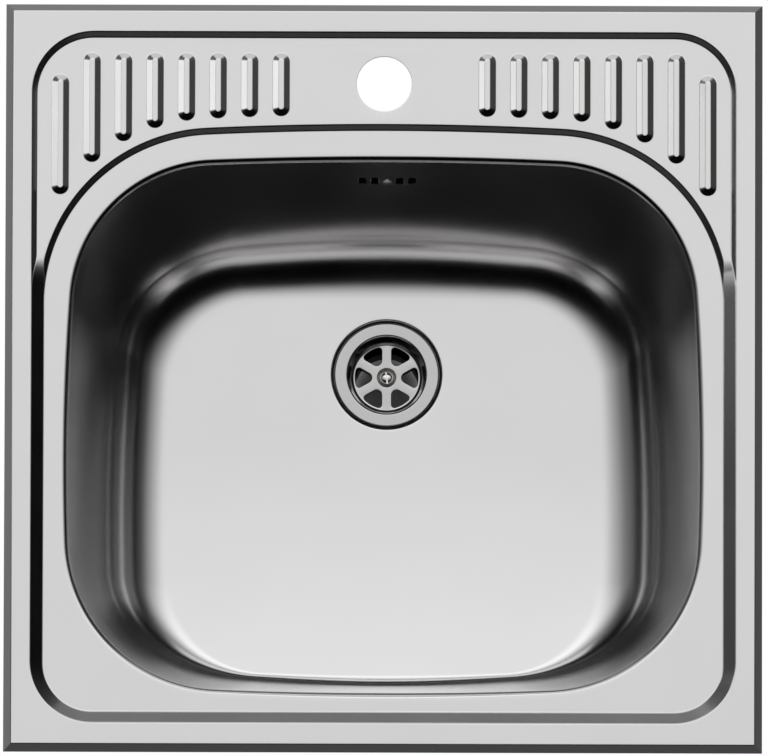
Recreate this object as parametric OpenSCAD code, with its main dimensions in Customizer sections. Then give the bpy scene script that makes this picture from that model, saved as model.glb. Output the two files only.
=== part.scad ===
// Inset kitchen sink with one bowl, pressed from stainless sheet.
// Millimetres. The origin is the middle of the sink on the worktop's surface,
// +Z is up, +Y is the back, where the tap stands.

/* [Rim and deck] */
// Width of the sink, left to right
sink_w = 480; // [470:1:560]
// Depth of the sink, front to back
sink_d = 480; // [470:1:560]
// Thickness of the stainless sheet
sheet_t = 0.8; // [0.6:0.1:1]
// Height of the rim above the worktop
rim_h = 5.6; // [5.2:0.1:8]
// Width of the bevelled outer edge
bevel_w = 4.8; // [3:0.1:6]
// Drop of the bevelled outer edge
bevel_drop = 4.6; // [3:0.1:4.8]
// Width of the rim at the sides, from the outer edge to the first step
rim_side = 16; // [14:0.5:18]
// Width of the rim at the front and the back
rim_end = 17.5; // [15:0.5:20]
// Corner radius of the first step
rim_corner_r = 40; // [30:1:60]
// Drop of each pressed step
step_drop = 3; // [2:0.1:3.5]
// Width of each pressed step, seen from above
step_run = 4.4; // [3.6:0.1:5]
// Radius of the upper face where steps and ribs bend
press_r = 1.4; // [1.2:0.1:1.4]
// Least flat between the two steps, along the sides and the front
step_gap = 0.5; // [0.3:0.1:2]

/* [Tap ledge] */
// Radius of the second step behind the bowl
ledge_back_r = 2300; // [1500:50:4000]
// Radius of the second step round the back corners
ledge_corner_r = 112; // [100:1:116]
// Land between the bowl and the second step at the back
ledge_land = 15.6; // [13:0.1:20]
// Diameter of the tap hole
tap_hole_d = 35; // [32:0.5:36]
// Distance of the tap hole from the back edge
tap_hole_in = 51; // [46:0.5:56]

/* [Ribs] */
// Ribs on each side of the tap hole
rib_count = 8; // [4:1:8]
// Distance between two ribs
rib_pitch = 20; // [18:0.5:20]
// Distance of the first rib from the middle
rib_first_x = 65.4; // [60:0.1:66]
// Width of a rib
rib_w = 11.7; // [10:0.1:13]
// Width of a rib's flat top
rib_top_w = 2.5; // [2:0.1:4]
// Height of a rib
rib_h = 2.5; // [1.5:0.1:3]
// Clear gap between a rib's end and the steps
rib_gap = 5.3; // [4:0.1:7]
// Clear gap between a rib's back end and the first step
rib_back_gap = 9; // [7:0.1:10]
// How much shorter the outermost rib is, to clear the corner
rib_corner_cut = 14; // [12:0.5:18]

/* [Bowl] */
// Depth of the bowl below the rim
bowl_depth = 160; // [140:1:180]
// Distance of the bowl from the sink's side edge, at the bowl's widest
bowl_side_in = 36; // [35:0.5:50]
// Distance of the bowl from the sink's front edge
bowl_front_in = 35; // [34:0.5:45]
// Distance of the bowl from the sink's back edge
bowl_back_in = 96.5; // [94:0.5:110]
// Distance of the bowl's widest place in front of the middle
bowl_widest_in = 52; // [30:1:60]
// Radius of the bowl's back edge
bowl_back_r = 2450; // [1500:50:4000]
// Radius of the bowl's side edges
bowl_side_r = 1500; // [1000:50:3000]
// Radius of the bowl's front edge
bowl_front_r = 1940; // [1500:20:4000]
// Radius of the bowl's back corners
bowl_back_corner_r = 94; // [90:1:110]
// Radius of the bowl's front corners
bowl_front_corner_r = 100; // [90:1:110]
// Radius where the deck rolls into the bowl
bowl_lip_r = 4; // [2.5:0.1:5]
// Slope of the bowl's wall from upright, in degrees
bowl_draft = 9; // [5:0.5:12]
// Radius where the wall runs into the floor
bowl_floor_r = 42; // [30:1:46]
// Flat flange of the bowl, up to its seam with the deck
bowl_flange = 3; // [2:0.1:4]

/* [Waste] */
// Sideways place of the waste and of the overflow
outlet_x = 2; // [-20:1:20]
// Distance of the waste's middle from the bowl's back edge
waste_in = 115.5; // [112:0.5:150]
// Outer diameter of the strainer's flange
strainer_d = 68; // [66:0.5:76]
// Diameter of the strainer's mouth
strainer_mouth_d = 52.4; // [50:0.2:54]
// Depth of the grid below the flange
strainer_depth = 11.8; // [10:0.1:14]
// Thickness of the strainer's sheet
strainer_t = 1; // [0.8:0.1:1.2]
// Width of a spoke of the grid
spoke_w = 5.8; // [4:0.1:7]
// Spokes of the grid
spoke_count = 6; // [5:1:8]
// Width of the ring left round the grid's dimple
hub_land = 2.8; // [2:0.1:4]
// Depth of the recess in the bowl's floor
recess_depth = 2.2; // [2:0.1:3]
// Clear gap round the strainer's flange in its recess
recess_gap = 0.4; // [0.2:0.1:1]
// Thickness of the bowl gasket
gasket_t = 2.5; // [2:0.1:4]
// Outer diameter of the outlet's thread, for a 1 1/2 inch trap
outlet_d = 47.8; // [46:0.1:48]
// Length of the outlet's thread
outlet_len = 22; // [16:1:30]
// Height of the waste body's chamber
chamber_h = 26; // [24:1:40]

/* [Overflow] */
// Depth of the slots' middle below the rim
overflow_in = 45; // [42:1:56]
// Height of a slot
slot_h = 14; // [10:0.5:15]
// Width of a slot
slot_w = 5; // [4:0.1:5.5]
// Distance between two slots
slot_pitch = 7.85; // [7.5:0.05:9]
// Slots on each side of the screw
slot_side_count = 2; // [1:1:2]
// Outer diameter of the hose over its ribs
hose_d = 25; // [24:0.5:26]
// Depth of a rib of the hose
hose_rib = 1.5; // [1:0.1:1.8]
// Distance between two ribs of the hose
hose_pitch = 4; // [3.5:0.1:6]
// Wall of the hose between its ribs
hose_wall = 1.2; // [1:0.1:1.4]
// Widest bend radius of the hose, at its middle
hose_bend = 64; // [40:1:80]

/* [Rails and clips] */
// Thickness of the rails
rail_t = 1.5; // [1:0.1:2]
// Depth of the rails' lower flange below the worktop's surface
rail_drop = 7.5; // [6:0.5:10]
// Length of a side rail
rail_len = 300; // [280:5:320]
// Length of each half of the back rail
rail_back_len = 130; // [110:5:140]
// Distance of the rails' outer edge from the sink's edge
rail_in = 11.6; // [11:0.1:12]
// Distance between the two clips of a side
clip_spacing = 220; // [180:5:240]
// Distance of the clips' screws from the sink's edge
clip_in = 19; // [18.5:0.1:20]
// Diameter of the clips' screws
clip_screw_d = 5; // [4:0.5:6]
// Length of the clips' screws under the head
clip_screw_len = 25; // [24:0.5:26]
// Lift of a jaw
clip_lift = 16; // [10:0.5:16]
// Reach of a jaw from its screw
jaw_reach = 25; // [22:0.5:30]
// Width of a jaw
jaw_w = 14; // [12:0.5:16]
// Height of a jaw's claw
jaw_claw_h = 8; // [5:0.5:12]
// Turn of every clip from its stored place, in degrees
clip_turn = 0; // [0:5:90]

/* [Colours] */
// Stainless steel
steel = "#c9c8ca";
// Galvanised steel
zinc = "#a9adb0";
// Zinc plated screws
bright = "#d3d5d6";
// Rubber and foam
black = "#2a2a2c";
// Moulded waste parts
plastic = "#2b2b2d";
// Brass
brass = "#c2a24e";

/* [Hidden] */
clip_count = 8;

// Small lengths: an overlap that keeps two joined solids one, and running gaps
eps = 0.01;
run_gap = 0.1;
seat_gap = 0.1;
soft_gap = 0.3;

// Heights of the sheet's upper surface
rim_z = rim_h;
panel_z = rim_z - step_drop;
land_z = panel_z - step_drop;
floor_z = rim_z - bowl_depth;

// Number of sides for a curve of a given radius
function sides(r) = r > 500 ? 720 : r > 60 ? 180 : r > 12 ? 96 : 48;

// An outline is the right half of a closed line that is alike on the left: a
// list of arcs [x, y, radius, from, to], in degrees, from the front to the back.
// Straight edges join an arc's end to the next start, and the ends to x = 0.
function on_arc(arc, angle, d = 0) =
    [arc[0] + (arc[2] + d) * cos(angle), arc[1] + (arc[2] + d) * sin(angle)];
function arc_at(c, r, from, to) = [c.x, c.y, r, from, to];
function bearing(from, to) = atan2(to.y - from.y, to.x - from.x);
// Angles are kept to four places, so that two arcs meet on one exact plane
function fine(angle) = round(angle * 10000) / 10000;
function ray(angle) = [cos(angle), sin(angle)];

// The place where two circles meet, on the given side
function meet(c1, r1, c2, r2, side) =
    let (d = c2 - c1,
         l = norm(d),
         a = (r1 * r1 - r2 * r2 + l * l) / (2 * l),
         h = sqrt(max(r1 * r1 - a * a, 0)),
         m = c1 + d / l * a,
         n = [-d.y, d.x] / l)
    (n * side > 0) ? m + n * h : m - n * h;

// First step: a rectangle with round corners
step1_x = sink_w / 2 - rim_side;
step1_y = sink_d / 2 - rim_end;
step1_c = [step1_x - rim_corner_r, step1_y - rim_corner_r];
step1 = [arc_at([step1_c.x, -step1_c.y], rim_corner_r, -90, 0),
         arc_at(step1_c, rim_corner_r, 0, 90)];

// Bowl's mouth: tangent arcs. The side's arc is as given, and the radii of the
// front and the back are trimmed to meet it.
bowl_x = sink_w / 2 - bowl_side_in;
bowl_side_c = [bowl_x - bowl_side_r, -bowl_widest_in];
bowl_plan_back_c = [0, sink_d / 2 - bowl_back_in - bowl_back_r];
bowl_plan_front_c = [0, -sink_d / 2 + bowl_front_in + bowl_front_r];
bowl_plan_k = [meet(bowl_plan_back_c, bowl_back_r - bowl_back_corner_r,
                    bowl_side_c, bowl_side_r - bowl_back_corner_r, [1, 1]),
               meet(bowl_side_c, bowl_side_r - bowl_front_corner_r,
                    bowl_plan_front_c, bowl_front_r - bowl_front_corner_r, [1, -1])];
bowl_a = [fine(bearing(bowl_plan_front_c, bowl_plan_k[1])),
          fine(bearing(bowl_side_c, bowl_plan_k[1])),
          fine(bearing(bowl_side_c, bowl_plan_k[0])),
          fine(bearing(bowl_plan_back_c, bowl_plan_k[0]))];
bowl_front_k = bowl_side_c + (bowl_side_r - bowl_front_corner_r) * ray(bowl_a[1]);
bowl_back_k = bowl_side_c + (bowl_side_r - bowl_back_corner_r) * ray(bowl_a[2]);
bowl_front_reach = bowl_front_k.x / cos(bowl_a[0]);
bowl_back_reach = bowl_back_k.x / cos(bowl_a[3]);
bowl_front_c = [0, bowl_front_k.y - bowl_front_reach * sin(bowl_a[0])];
bowl_back_c = [0, bowl_back_k.y - bowl_back_reach * sin(bowl_a[3])];
bowl = [arc_at(bowl_front_c, bowl_front_reach + bowl_front_corner_r, -90, bowl_a[0]),
        arc_at(bowl_front_k, bowl_front_corner_r, bowl_a[0], bowl_a[1]),
        arc_at(bowl_side_c, bowl_side_r, bowl_a[1], bowl_a[2]),
        arc_at(bowl_back_k, bowl_back_corner_r, bowl_a[2], bowl_a[3]),
        arc_at(bowl_back_c, bowl_back_reach + bowl_back_corner_r, bowl_a[3], 90)];
bowl_front_y = bowl_front_c.y - bowl[0][2];
bowl_back_y = bowl_back_c.y + bowl[4][2];

// Second step: it runs beside the first, and curves in behind the bowl
step2_in = step_run + step_gap;
step2_x = step1_x - step2_in;
step2_k_x = step2_x - ledge_corner_r;
step2_a = fine(acos(step2_k_x / (ledge_back_r - ledge_corner_r)));
step2_reach = step2_k_x / cos(step2_a);
step2_back_y = bowl_back_y + ledge_land + step_run;
step2_back_c = [0, step2_back_y - step2_reach - ledge_corner_r];
step2_k = [step2_k_x, step2_back_c.y + step2_reach * sin(step2_a)];
step2 = [arc_at([step1_c.x, -step1_c.y], rim_corner_r - step2_in, -90, 0),
         arc_at(step2_k, ledge_corner_r, 0, step2_a),
         arc_at(step2_back_c, step2_reach + ledge_corner_r, step2_a, 90)];

// The second step's back edge at x, moved out by d
function ledge_y(x, d) =
    abs(x) < step2_k.x
        ? step2_back_c.y + sqrt(pow(step2[2][2] + d, 2) - x * x)
        : step2_k.y + sqrt(pow(ledge_corner_r + d, 2) - pow(abs(x) - step2_k.x, 2));

// Bowl's section: run of its wall from the mouth to the flat floor
bowl_fall = land_z - floor_z;
bowl_turn = 90 - bowl_draft;
wall_up = bowl_fall - (bowl_lip_r + bowl_floor_r) * (1 - cos(bowl_turn));
wall_len = wall_up / cos(bowl_draft);
wall_run = wall_up * tan(bowl_draft);
bowl_run = wall_run + (bowl_lip_r + bowl_floor_r) * sin(bowl_turn);
// Inner face of the back wall at a depth below the rim
function back_wall_y(depth) =
    bowl_back_y - bowl_lip_r * sin(bowl_turn)
    - (depth - 2 * step_drop - bowl_lip_r * (1 - cos(bowl_turn))) * tan(bowl_draft);

// Flat lips, under which the flat sheets between two bent edges are joined
lip = 1.2;
step_lip = step_gap / 2;

// Tap hole
tap_hole_y = sink_d / 2 - tap_hole_in;

// Ribs: round-ended, one list of [x, front end, back end] for the right side
rib_run = (rib_w - rib_top_w) / 2;
rib_end_y = step1_y - step_run - rib_back_gap - rib_w / 2;
function tenth(v) = round(v * 10) / 10;
ribs = [for (k = [0:rib_count - 1])
    let (x = rib_first_x + k * rib_pitch,
         outermost = x + rib_w > step1_x - step_run - rib_back_gap)
    if (x + rib_w / 2 + rib_gap < step1_x - step_run)
        [x, tenth(ledge_y(x, rib_gap + rib_w / 2)),
         tenth(rib_end_y - (outermost ? rib_corner_cut : 0))]];

// Waste, as heights from the bowl's floor
waste_y = sink_d / 2 - bowl_back_in - waste_in;
recess_bend_turn = 75;
recess_bend_r = recess_depth / (2 * (1 - cos(recess_bend_turn)));
recess_bend_run = 2 * recess_bend_r * sin(recess_bend_turn);
recess_flat_r = strainer_d / 2 + recess_gap;
recess_r = recess_flat_r + recess_bend_run;
strainer_top = -0.2;
strainer_wall_turn = 75;
strainer_bend_r = 1.5;
strainer_wall_len = (strainer_depth - 2 * strainer_bend_r * (1 - cos(strainer_wall_turn)))
                    / sin(strainer_wall_turn);
strainer_grid_r = strainer_mouth_d / 2 - 2 * strainer_bend_r * sin(strainer_wall_turn)
                  - strainer_wall_len * cos(strainer_wall_turn);
grid_z = strainer_top - strainer_depth;
dimple_turn = 60;
dimple_bend_r = 1.2;
dimple_drop = 2.4;
dimple_len = (dimple_drop - 2 * dimple_bend_r * (1 - cos(dimple_turn))) / sin(dimple_turn);
strainer_hole_r = 3.1;
dimple_flat = 0.65;
dimple_r = strainer_hole_r + dimple_flat + 2 * dimple_bend_r * sin(dimple_turn)
           + dimple_len * cos(dimple_turn);
dimple_z = grid_z - dimple_drop;
hub_under = dimple_z - strainer_t;
waste_hole_r = strainer_mouth_d / 2 + strainer_t + 1.4;
recess_under = -recess_depth - sheet_t;
gasket_under = recess_under - gasket_t;
body_flange_t = 3;
body_flange_r = strainer_d / 2 + 4;
body_wall = 3;
body_r = waste_hole_r + body_wall;
chamber_top = gasket_under - body_flange_t;
chamber_end = chamber_top - chamber_h;
outlet_top = chamber_end - 8;
outlet_end = outlet_top - outlet_len;
outlet_bore_r = outlet_d / 2 - 3.4;
boss_r = 7;
boss_top = hub_under - seat_gap;
boss_end = boss_top - 15;
insert_r = 4.5;
insert_len = 10;
insert_top = boss_top - 1;
waste_screw_r = 3;
waste_screw_len = 13;

// Overflow, hose and its two ends
overflow_z = rim_z - overflow_in;
overflow_y = back_wall_y(overflow_in) + sheet_t / cos(bowl_draft);
overflow_gasket_t = 2;
overflow_gasket_gap = 0.05;
cup_w = 2 * slot_side_count * slot_pitch + slot_w + 10;
cup_h = slot_h + 6;
cup_depth = 24;
cup_from = overflow_gasket_gap + overflow_gasket_t;
cup_wall = 2;
flange_over = 4;
hose_side_count = 8;
hose_round = cos(180 / hose_side_count);
hose_r = hose_d / 2;
hose_valley_r = hose_r - hose_rib;
hose_bore_r = hose_valley_r - hose_wall / hose_round;
spigot_r = hose_bore_r * hose_round - soft_gap;
spigot_bore_r = spigot_r - 1.8;
spigot_len = 14;
collar_len = 6;
nut_len = 16;
nut_bore_r = hose_valley_r + soft_gap;
collar_r = nut_bore_r - run_gap;
nut_r = nut_bore_r + 4;
hose_top_y = overflow_y + overflow_gasket_t + cup_depth / 2 + 1;
hose_top_z = overflow_z - cup_h / 2 - (cup_from + cup_depth) * sin(bowl_draft)
             - collar_len - 0.5;
port_z = floor_z + chamber_top - chamber_h / 2 - 4.5;
port_y = waste_y + body_r + collar_len;

// The hose's route: down, round a quarter bend, and forward to the waste. The
// bend leaves both nuts on a straight end.
hose_turn_r = min([hose_bend, hose_top_y - port_y - nut_len - 2,
                   hose_top_z - port_z - nut_len - 2]);
hose_down = hose_top_z - port_z - hose_turn_r;
hose_bend_len = hose_turn_r * PI / 2;
hose_forward = hose_top_y - hose_turn_r - port_y;
hose_len = hose_down + hose_bend_len + hose_forward;
hose_cuff = hose_d;
hose_ribs = floor((hose_len - 2 * hose_cuff) / hose_pitch);

// Rails: a Z section with its upper flange under the sheet
rail_top = -rail_drop;
rail_under = rail_top - rail_t;
rail_edge = rail_in;
rail_web_in = rim_side + 2 * step_run + step_gap;
rail_end_web_in = rim_end + 2 * step_run + step_gap;
rail_flange = 8;
rail_front_flange = 7;

// Clips, as heights from the worktop's surface, with the jaw lowered
rivet_r = 3;
rivet_head_r = 5;
rivet_head_h = 1.4;
bracket_t = 1.5;
bracket_top = rail_under - run_gap;
leg_w = 12;
leg_in = 7.5;
rivet_end = bracket_top - bracket_t - run_gap;
rivet_foot = rivet_end - rivet_head_h;
clip_screw_top = rivet_foot - 0.4 - clip_lift;
clip_head_top = clip_screw_top - clip_screw_len;
clip_head_h = 3;
clip_head_r = 4.5;
jaw_t = 2.5;
jaw_top = clip_head_top + run_gap + jaw_t;
nut_tab_t = 3;
nut_tab_end = clip_screw_top - 2 - nut_tab_t;
leg_end = clip_head_top - 3;
jaw_fork = 3.5;
claw_teeth = 3;

// Where each clip stands: [x, y, direction of its outward swing]
clip_x = sink_w / 2 - clip_in;
clip_y = sink_d / 2 - clip_in;
clip_half = clip_spacing / 2;
clips = [[clip_x, clip_half, 0], [clip_x, -clip_half, 0],
         [-clip_x, clip_half, 180], [-clip_x, -clip_half, 180],
         [clip_half, clip_y, 90], [-clip_half, clip_y, 90],
         [clip_half, -clip_y, 270], [-clip_half, -clip_y, 270]];

// Sheet and outline helpers

// Moves by v in a coarse and a fine step, so that no digit is lost in writing
module place(v) {
    coarse = [for (n = v) round(n * 10) / 10];
    translate(coarse) translate(v - coarse) children();
}

// The area inside an outline, moved out by d, with short straight edges. It
// ends under a flat lip, so its edge doesn't show.
module area(outline, d, sag = 0.3) {
    right = [for (arc = outline)
        let (n = ceil((arc[4] - arc[3]) * PI / 180 / sqrt(8 * sag / (arc[2] + d))))
        for (k = [0:n]) on_arc(arc, arc[3] + (arc[4] - arc[3]) * k / n, d)];
    kept = [for (k = [0:len(right) - 1])
        if (k == 0 || norm(right[k] - right[k - 1]) > eps) right[k]];
    last = len(kept) - 1;
    polygon(concat(kept, [for (k = [last:-1:0])
        if (kept[k].x > eps) [-kept[k].x, kept[k].y]]));
}

// Sweeps a section along both halves of an outline; its x is the way out
module along(outline) {
    last = len(outline) - 1;
    starts = concat([for (arc = outline) on_arc(arc, arc[3])],
                    [[0, on_arc(outline[last], outline[last][4]).y]]);
    ends = concat([[0, on_arc(outline[0], outline[0][3]).y]],
                  [for (arc = outline) on_arc(arc, arc[4])]);
    headings = concat([for (arc = outline) arc[3]], [outline[last][4]]);
    for (side = [0, 1]) mirror([side, 0, 0]) {
        for (arc = outline)
            place([arc[0], arc[1], 0])
                rotate_extrude(angle = arc[4] - arc[3], start = arc[3], $fn = sides(arc[2]))
                    place([arc[2], 0]) children();
        for (k = [0:last + 1])
            if (norm(starts[k] - ends[k]) > eps)
                place([starts[k].x, starts[k].y, 0])
                    rotate([0, 0, headings[k]]) rotate([90, 0, 0])
                        linear_extrude(norm(starts[k] - ends[k])) children();
    }
}

// Section of a bent sheet, drawn below its upper face. A move is [length],
// or [radius, turn] with the turn to the left positive.
function left_of(heading) = [-sin(heading), cos(heading)];
function bend_steps(r, turn) = ceil(abs(turn) * PI / 180 / sqrt(8 * bend_sag / r));
bend_sag = 0.06;
function walk(moves, at, heading, i = 0) =
    i == len(moves) ? [] :
    let (move = moves[i])
    len(move) == 1
        ? let (to = at + move[0] * ray(heading))
          concat([[to, heading]], walk(moves, to, heading, i + 1))
        : let (r = move[0], side = sign(move[1]), n = bend_steps(r, move[1]),
               centre = at + side * r * left_of(heading),
               after = heading + move[1])
          concat([for (k = [1:n])
                     let (h = heading + move[1] * k / n)
                     [centre - side * r * left_of(h), h]],
                 walk(moves, centre - side * r * left_of(after), after, i + 1));
module strip(moves, t, at = [0, 0]) {
    path = concat([[at, 0]], walk(moves, at, 0));
    last = len(path) - 1;
    polygon(concat([for (p = path) p[0] - t * left_of(p[1])],
                   [for (k = [last:-1:0]) path[k][0]]));
}

// Two bends with a straight slope between them, up or down by drop over run
function slope_turn(run, drop, r) =
    2 * atan(drop / (run + sqrt(run * run - drop * (4 * r - drop))));
function slope(run, drop, r, up) =
    let (turn = slope_turn(run, drop, r),
         straight = (drop - 2 * r * (1 - cos(turn))) / sin(turn))
    [[r, up * turn], [straight], [r, -up * turn]];

// Section of a step that rises outwards by drop over run, with a lip each side
module step_section(run, drop, t, inner_lip, outer_lip) {
    strip(concat([[inner_lip]], slope(run, drop, press_r, 1), [[outer_lip]]), t,
          [-run - inner_lip, 0]);
}

module rounded_slot(length, width) {
    square([width, length - width], center = true);
    for (end = [-1, 1])
        translate([0, end * (length - width) / 2])
            circle(width / 2, $fn = sides(width / 2));
}

// Deck

module rim_section() {
    slope = norm([bevel_w, bevel_drop]);
    half = atan2(bevel_drop, bevel_w) / 2;
    polygon([[-bevel_w - rim_lip, 0], [-bevel_w, 0], [0, -bevel_drop],
             [-sheet_t * bevel_drop / slope, -bevel_drop - sheet_t * bevel_w / slope],
             [-bevel_w - sheet_t * tan(half), -sheet_t],
             [-bevel_w - rim_lip, -sheet_t]]);
}
rim_lip = 3;

// One mitred length of rim, along the side that lies out from the middle
module rim_length(out, half_length) {
    back = rim_lip + bevel_w + 2;
    intersection() {
        translate([out, half_length, rim_z])
            rotate([90, 0, 0]) linear_extrude(2 * half_length) rim_section();
        translate([0, 0, rim_z - bevel_drop - sheet_t - 1])
            linear_extrude(bevel_drop + sheet_t + 2)
                polygon([[out - back, -half_length + back], [out, -half_length],
                         [out, half_length], [out - back, half_length - back]]);
    }
}

rib_lip = 0.5;

module rib_footprint(rib) {
    translate([rib[0], (rib[1] + rib[2]) / 2])
        rounded_slot(rib[2] - rib[1] + rib_w + rib_lip, rib_w + rib_lip);
}

module rib(rib) {
    half = concat(slope(rib_run, rib_h, press_r, -1), [[rib_lip]]);
    translate([rib[0], rib[2], panel_z]) rotate([90, 0, 0])
        linear_extrude(rib[2] - rib[1])
            strip(concat([[rib_lip]], slope(rib_run, rib_h, press_r, 1), [[rib_top_w]], half),
                  sheet_t, [-rib_w / 2 - rib_lip, 0]);
    for (end = [1, 2])
        translate([rib[0], rib[end], panel_z])
            rotate_extrude(angle = 180, start = end == 1 ? 180 : 0, $fn = 48)
                strip(concat([[rib_top_w / 2]], half), sheet_t, [0, rib_h]);
}

module deck_sheet(z) {
    translate([0, 0, z - sheet_t]) linear_extrude(sheet_t) children();
}

module sink_top() {
    rim_inset = 2 * bevel_w + rim_lip;
    narrow = step_lip / 2;
    color(steel) {
        deck_sheet(rim_z) difference() {
            square([sink_w - rim_inset, sink_d - rim_inset], center = true);
            area(step1, lip * 0.7);
        }
        for (turn = [0, 180]) {
            rotate(turn) rim_length(sink_w / 2, sink_d / 2);
            rotate(turn + 90) rim_length(sink_d / 2, sink_w / 2);
        }
        along(step1) translate([0, panel_z])
            step_section(step_run, step_drop, sheet_t, step_lip, lip);
        deck_sheet(panel_z) difference() {
            area(step1, -step_run - narrow, narrow / 2);
            area(step2, narrow, narrow / 2);
            for (side = [0, 1]) mirror([side, 0]) for (r = ribs) rib_footprint(r);
            translate([0, tap_hole_y]) circle(d = tap_hole_d, $fn = 96);
        }
        for (side = [0, 1]) mirror([side, 0, 0]) for (r = ribs) rib(r);
        along(step2) translate([0, land_z])
            step_section(step_run, step_drop, sheet_t, lip, step_lip);
        deck_sheet(land_z) difference() {
            area(step2, -step_run - lip * 0.4);
            area(bowl, bowl_flange + lip * 0.7);
        }
        along(bowl) translate([bowl_flange, land_z - sheet_t]) square([lip, sheet_t]);
    }
}

// Bowl

module bowl_section() {
    strip([[lip], [bowl_floor_r, bowl_turn], [wall_len], [bowl_lip_r, -bowl_turn], [bowl_flange]],
          sheet_t, [-bowl_run - lip, floor_z]);
}

module recess_section() {
    strip([[recess_flat_r - waste_hole_r], [recess_bend_r, recess_bend_turn],
           [recess_bend_r, -recess_bend_turn], [lip]], sheet_t, [waste_hole_r, -recess_depth]);
}

// Places things on the outer face of the back wall, with y the way out
module at_overflow() {
    translate([outlet_x, overflow_y, overflow_z]) rotate([-bowl_draft, 0, 0]) children();
}

module overflow_cut() {
    fan = 1.7;
    rotate([90, 0, 0]) for (side = [-1, 1], k = [1:slot_side_count])
        translate([side * k * slot_pitch, 0, -1])
            rotate(-side * k * fan)
                linear_extrude(sheet_t + 3) rounded_slot(slot_h, slot_w);
    rotate([90, 0, 0]) translate([0, 0, -1])
        cylinder(r = overflow_screw_r + run_gap, h = sheet_t + 3, $fn = 48);
}
overflow_screw_r = 2.5;

module sink_bowl() {
    color(steel) difference() {
        union() {
            along(bowl) bowl_section();
            deck_sheet(floor_z) difference() {
                area(bowl, -bowl_run - lip * 0.4);
                translate([outlet_x, waste_y]) circle(recess_r + lip / 2, $fn = 96);
            }
            at_waste() rotate_extrude($fn = 96) recess_section();
        }
        at_overflow() overflow_cut();
    }
}

// Seal and sound pad

module rim_seal() {
    seal_out = bevel_w + 0.6;
    seal_w = 5.6;
    seal_h = rim_h - sheet_t;
    color(black) linear_extrude(seal_h) difference() {
        square([sink_w - 2 * seal_out, sink_d - 2 * seal_out], center = true);
        square([sink_w - 2 * (seal_out + seal_w), sink_d - 2 * (seal_out + seal_w)], center = true);
    }
}

module sound_pad() {
    pad_w = 170;
    pad_t = 2;
    pad_back = waste_y - body_flange_r - 15;
    pad_front = bowl_front_y + bowl_run + 14;
    corner_r = 12;
    color(black)
        translate([0, (pad_back + pad_front) / 2, floor_z - sheet_t - pad_t])
            linear_extrude(pad_t) {
                square([pad_w, pad_back - pad_front - 2 * corner_r], center = true);
                square([pad_w - 2 * corner_r, pad_back - pad_front], center = true);
                for (x = [-1, 1], y = [-1, 1])
                    translate([x * (pad_w / 2 - corner_r), y * ((pad_back - pad_front) / 2 - corner_r)])
                        circle(corner_r, $fn = 48);
            }
}

// Rails

// Section with x the way out from the sink's middle, 0 at the sink's edge
module rail_section(web_in, flange, under) {
    web_out = -web_in;
    polygon([[web_out - flange, under], [web_out, under], [web_out, rail_top],
             [-rail_edge, rail_top], [-rail_edge, rail_under],
             [web_out - rail_t, rail_under], [web_out - rail_t, under - rail_t],
             [web_out - flange, under - rail_t]]);
}

// A rail on the side that lies out from the middle, from one y to another,
// with holes for the rivets of the clips
module rail(turn, out, from, to, web_in, flange, under, clip_places) {
    color(zinc) rotate(turn) difference() {
        translate([out, to, 0]) rotate([90, 0, 0])
            linear_extrude(to - from) rail_section(web_in, flange, under);
        for (y = clip_places)
            translate([out - clip_in, y, rail_under - 1])
                cylinder(r = rivet_r, h = rail_t + 2, $fn = 48);
    }
}

module side_rail(turn) {
    rail(turn, sink_w / 2, -rail_len / 2, rail_len / 2, rail_web_in, rail_flange,
         land_z - sheet_t, [-clip_half, clip_half]);
}

module rail_front() {
    rail(270, sink_d / 2, -rail_len / 2, rail_len / 2, rail_end_web_in, rail_front_flange,
         land_z - sheet_t, [-clip_half, clip_half]);
}

// Half of the back rail, so that the tap hole stays free
module rail_back(side) {
    inner = clip_half - rail_back_len / 2;
    outer = clip_half + rail_back_len / 2;
    rail(90, sink_d / 2, side < 0 ? inner : -outer, side < 0 ? outer : -inner,
         rail_end_web_in, rail_front_flange, panel_z - sheet_t, [-side * clip_half]);
}

// Clips, each drawn with its screw on the Z axis and its jaw towards +X

module clip_rivet() {
    translate([0, 0, rivet_foot]) cylinder(r = rivet_head_r, h = rivet_head_h, $fn = 48);
    translate([0, 0, rivet_end]) cylinder(r = rivet_r, h = rail_top - rivet_end, $fn = 48);
    translate([0, 0, rail_top]) cylinder(r = rivet_head_r, h = rivet_head_h, $fn = 48);
}

module bracket_shape() {
    tab_x = leg_in + leg_w / 2;
    difference() {
        union() {
            translate([-leg_in - bracket_t, -leg_w / 2, leg_end])
                cube([bracket_t, leg_w, bracket_top - leg_end]);
            for (level = [[bracket_top - bracket_t, bracket_t], [nut_tab_end, nut_tab_t]]) {
                translate([-leg_in - eps, -leg_w / 2, level[0]])
                    cube([leg_in + eps, leg_w, level[1]]);
                translate([0, 0, level[0]])
                    cylinder(d = leg_w, h = level[1], $fn = 48);
            }
        }
        translate([0, 0, bracket_top - bracket_t - 1])
            cylinder(r = rivet_r + run_gap, h = bracket_t + 2, $fn = 48);
        translate([0, 0, nut_tab_end - 1])
            cylinder(r = clip_screw_d / 2 + run_gap, h = nut_tab_t + 2, $fn = 48);
    }
}

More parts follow.
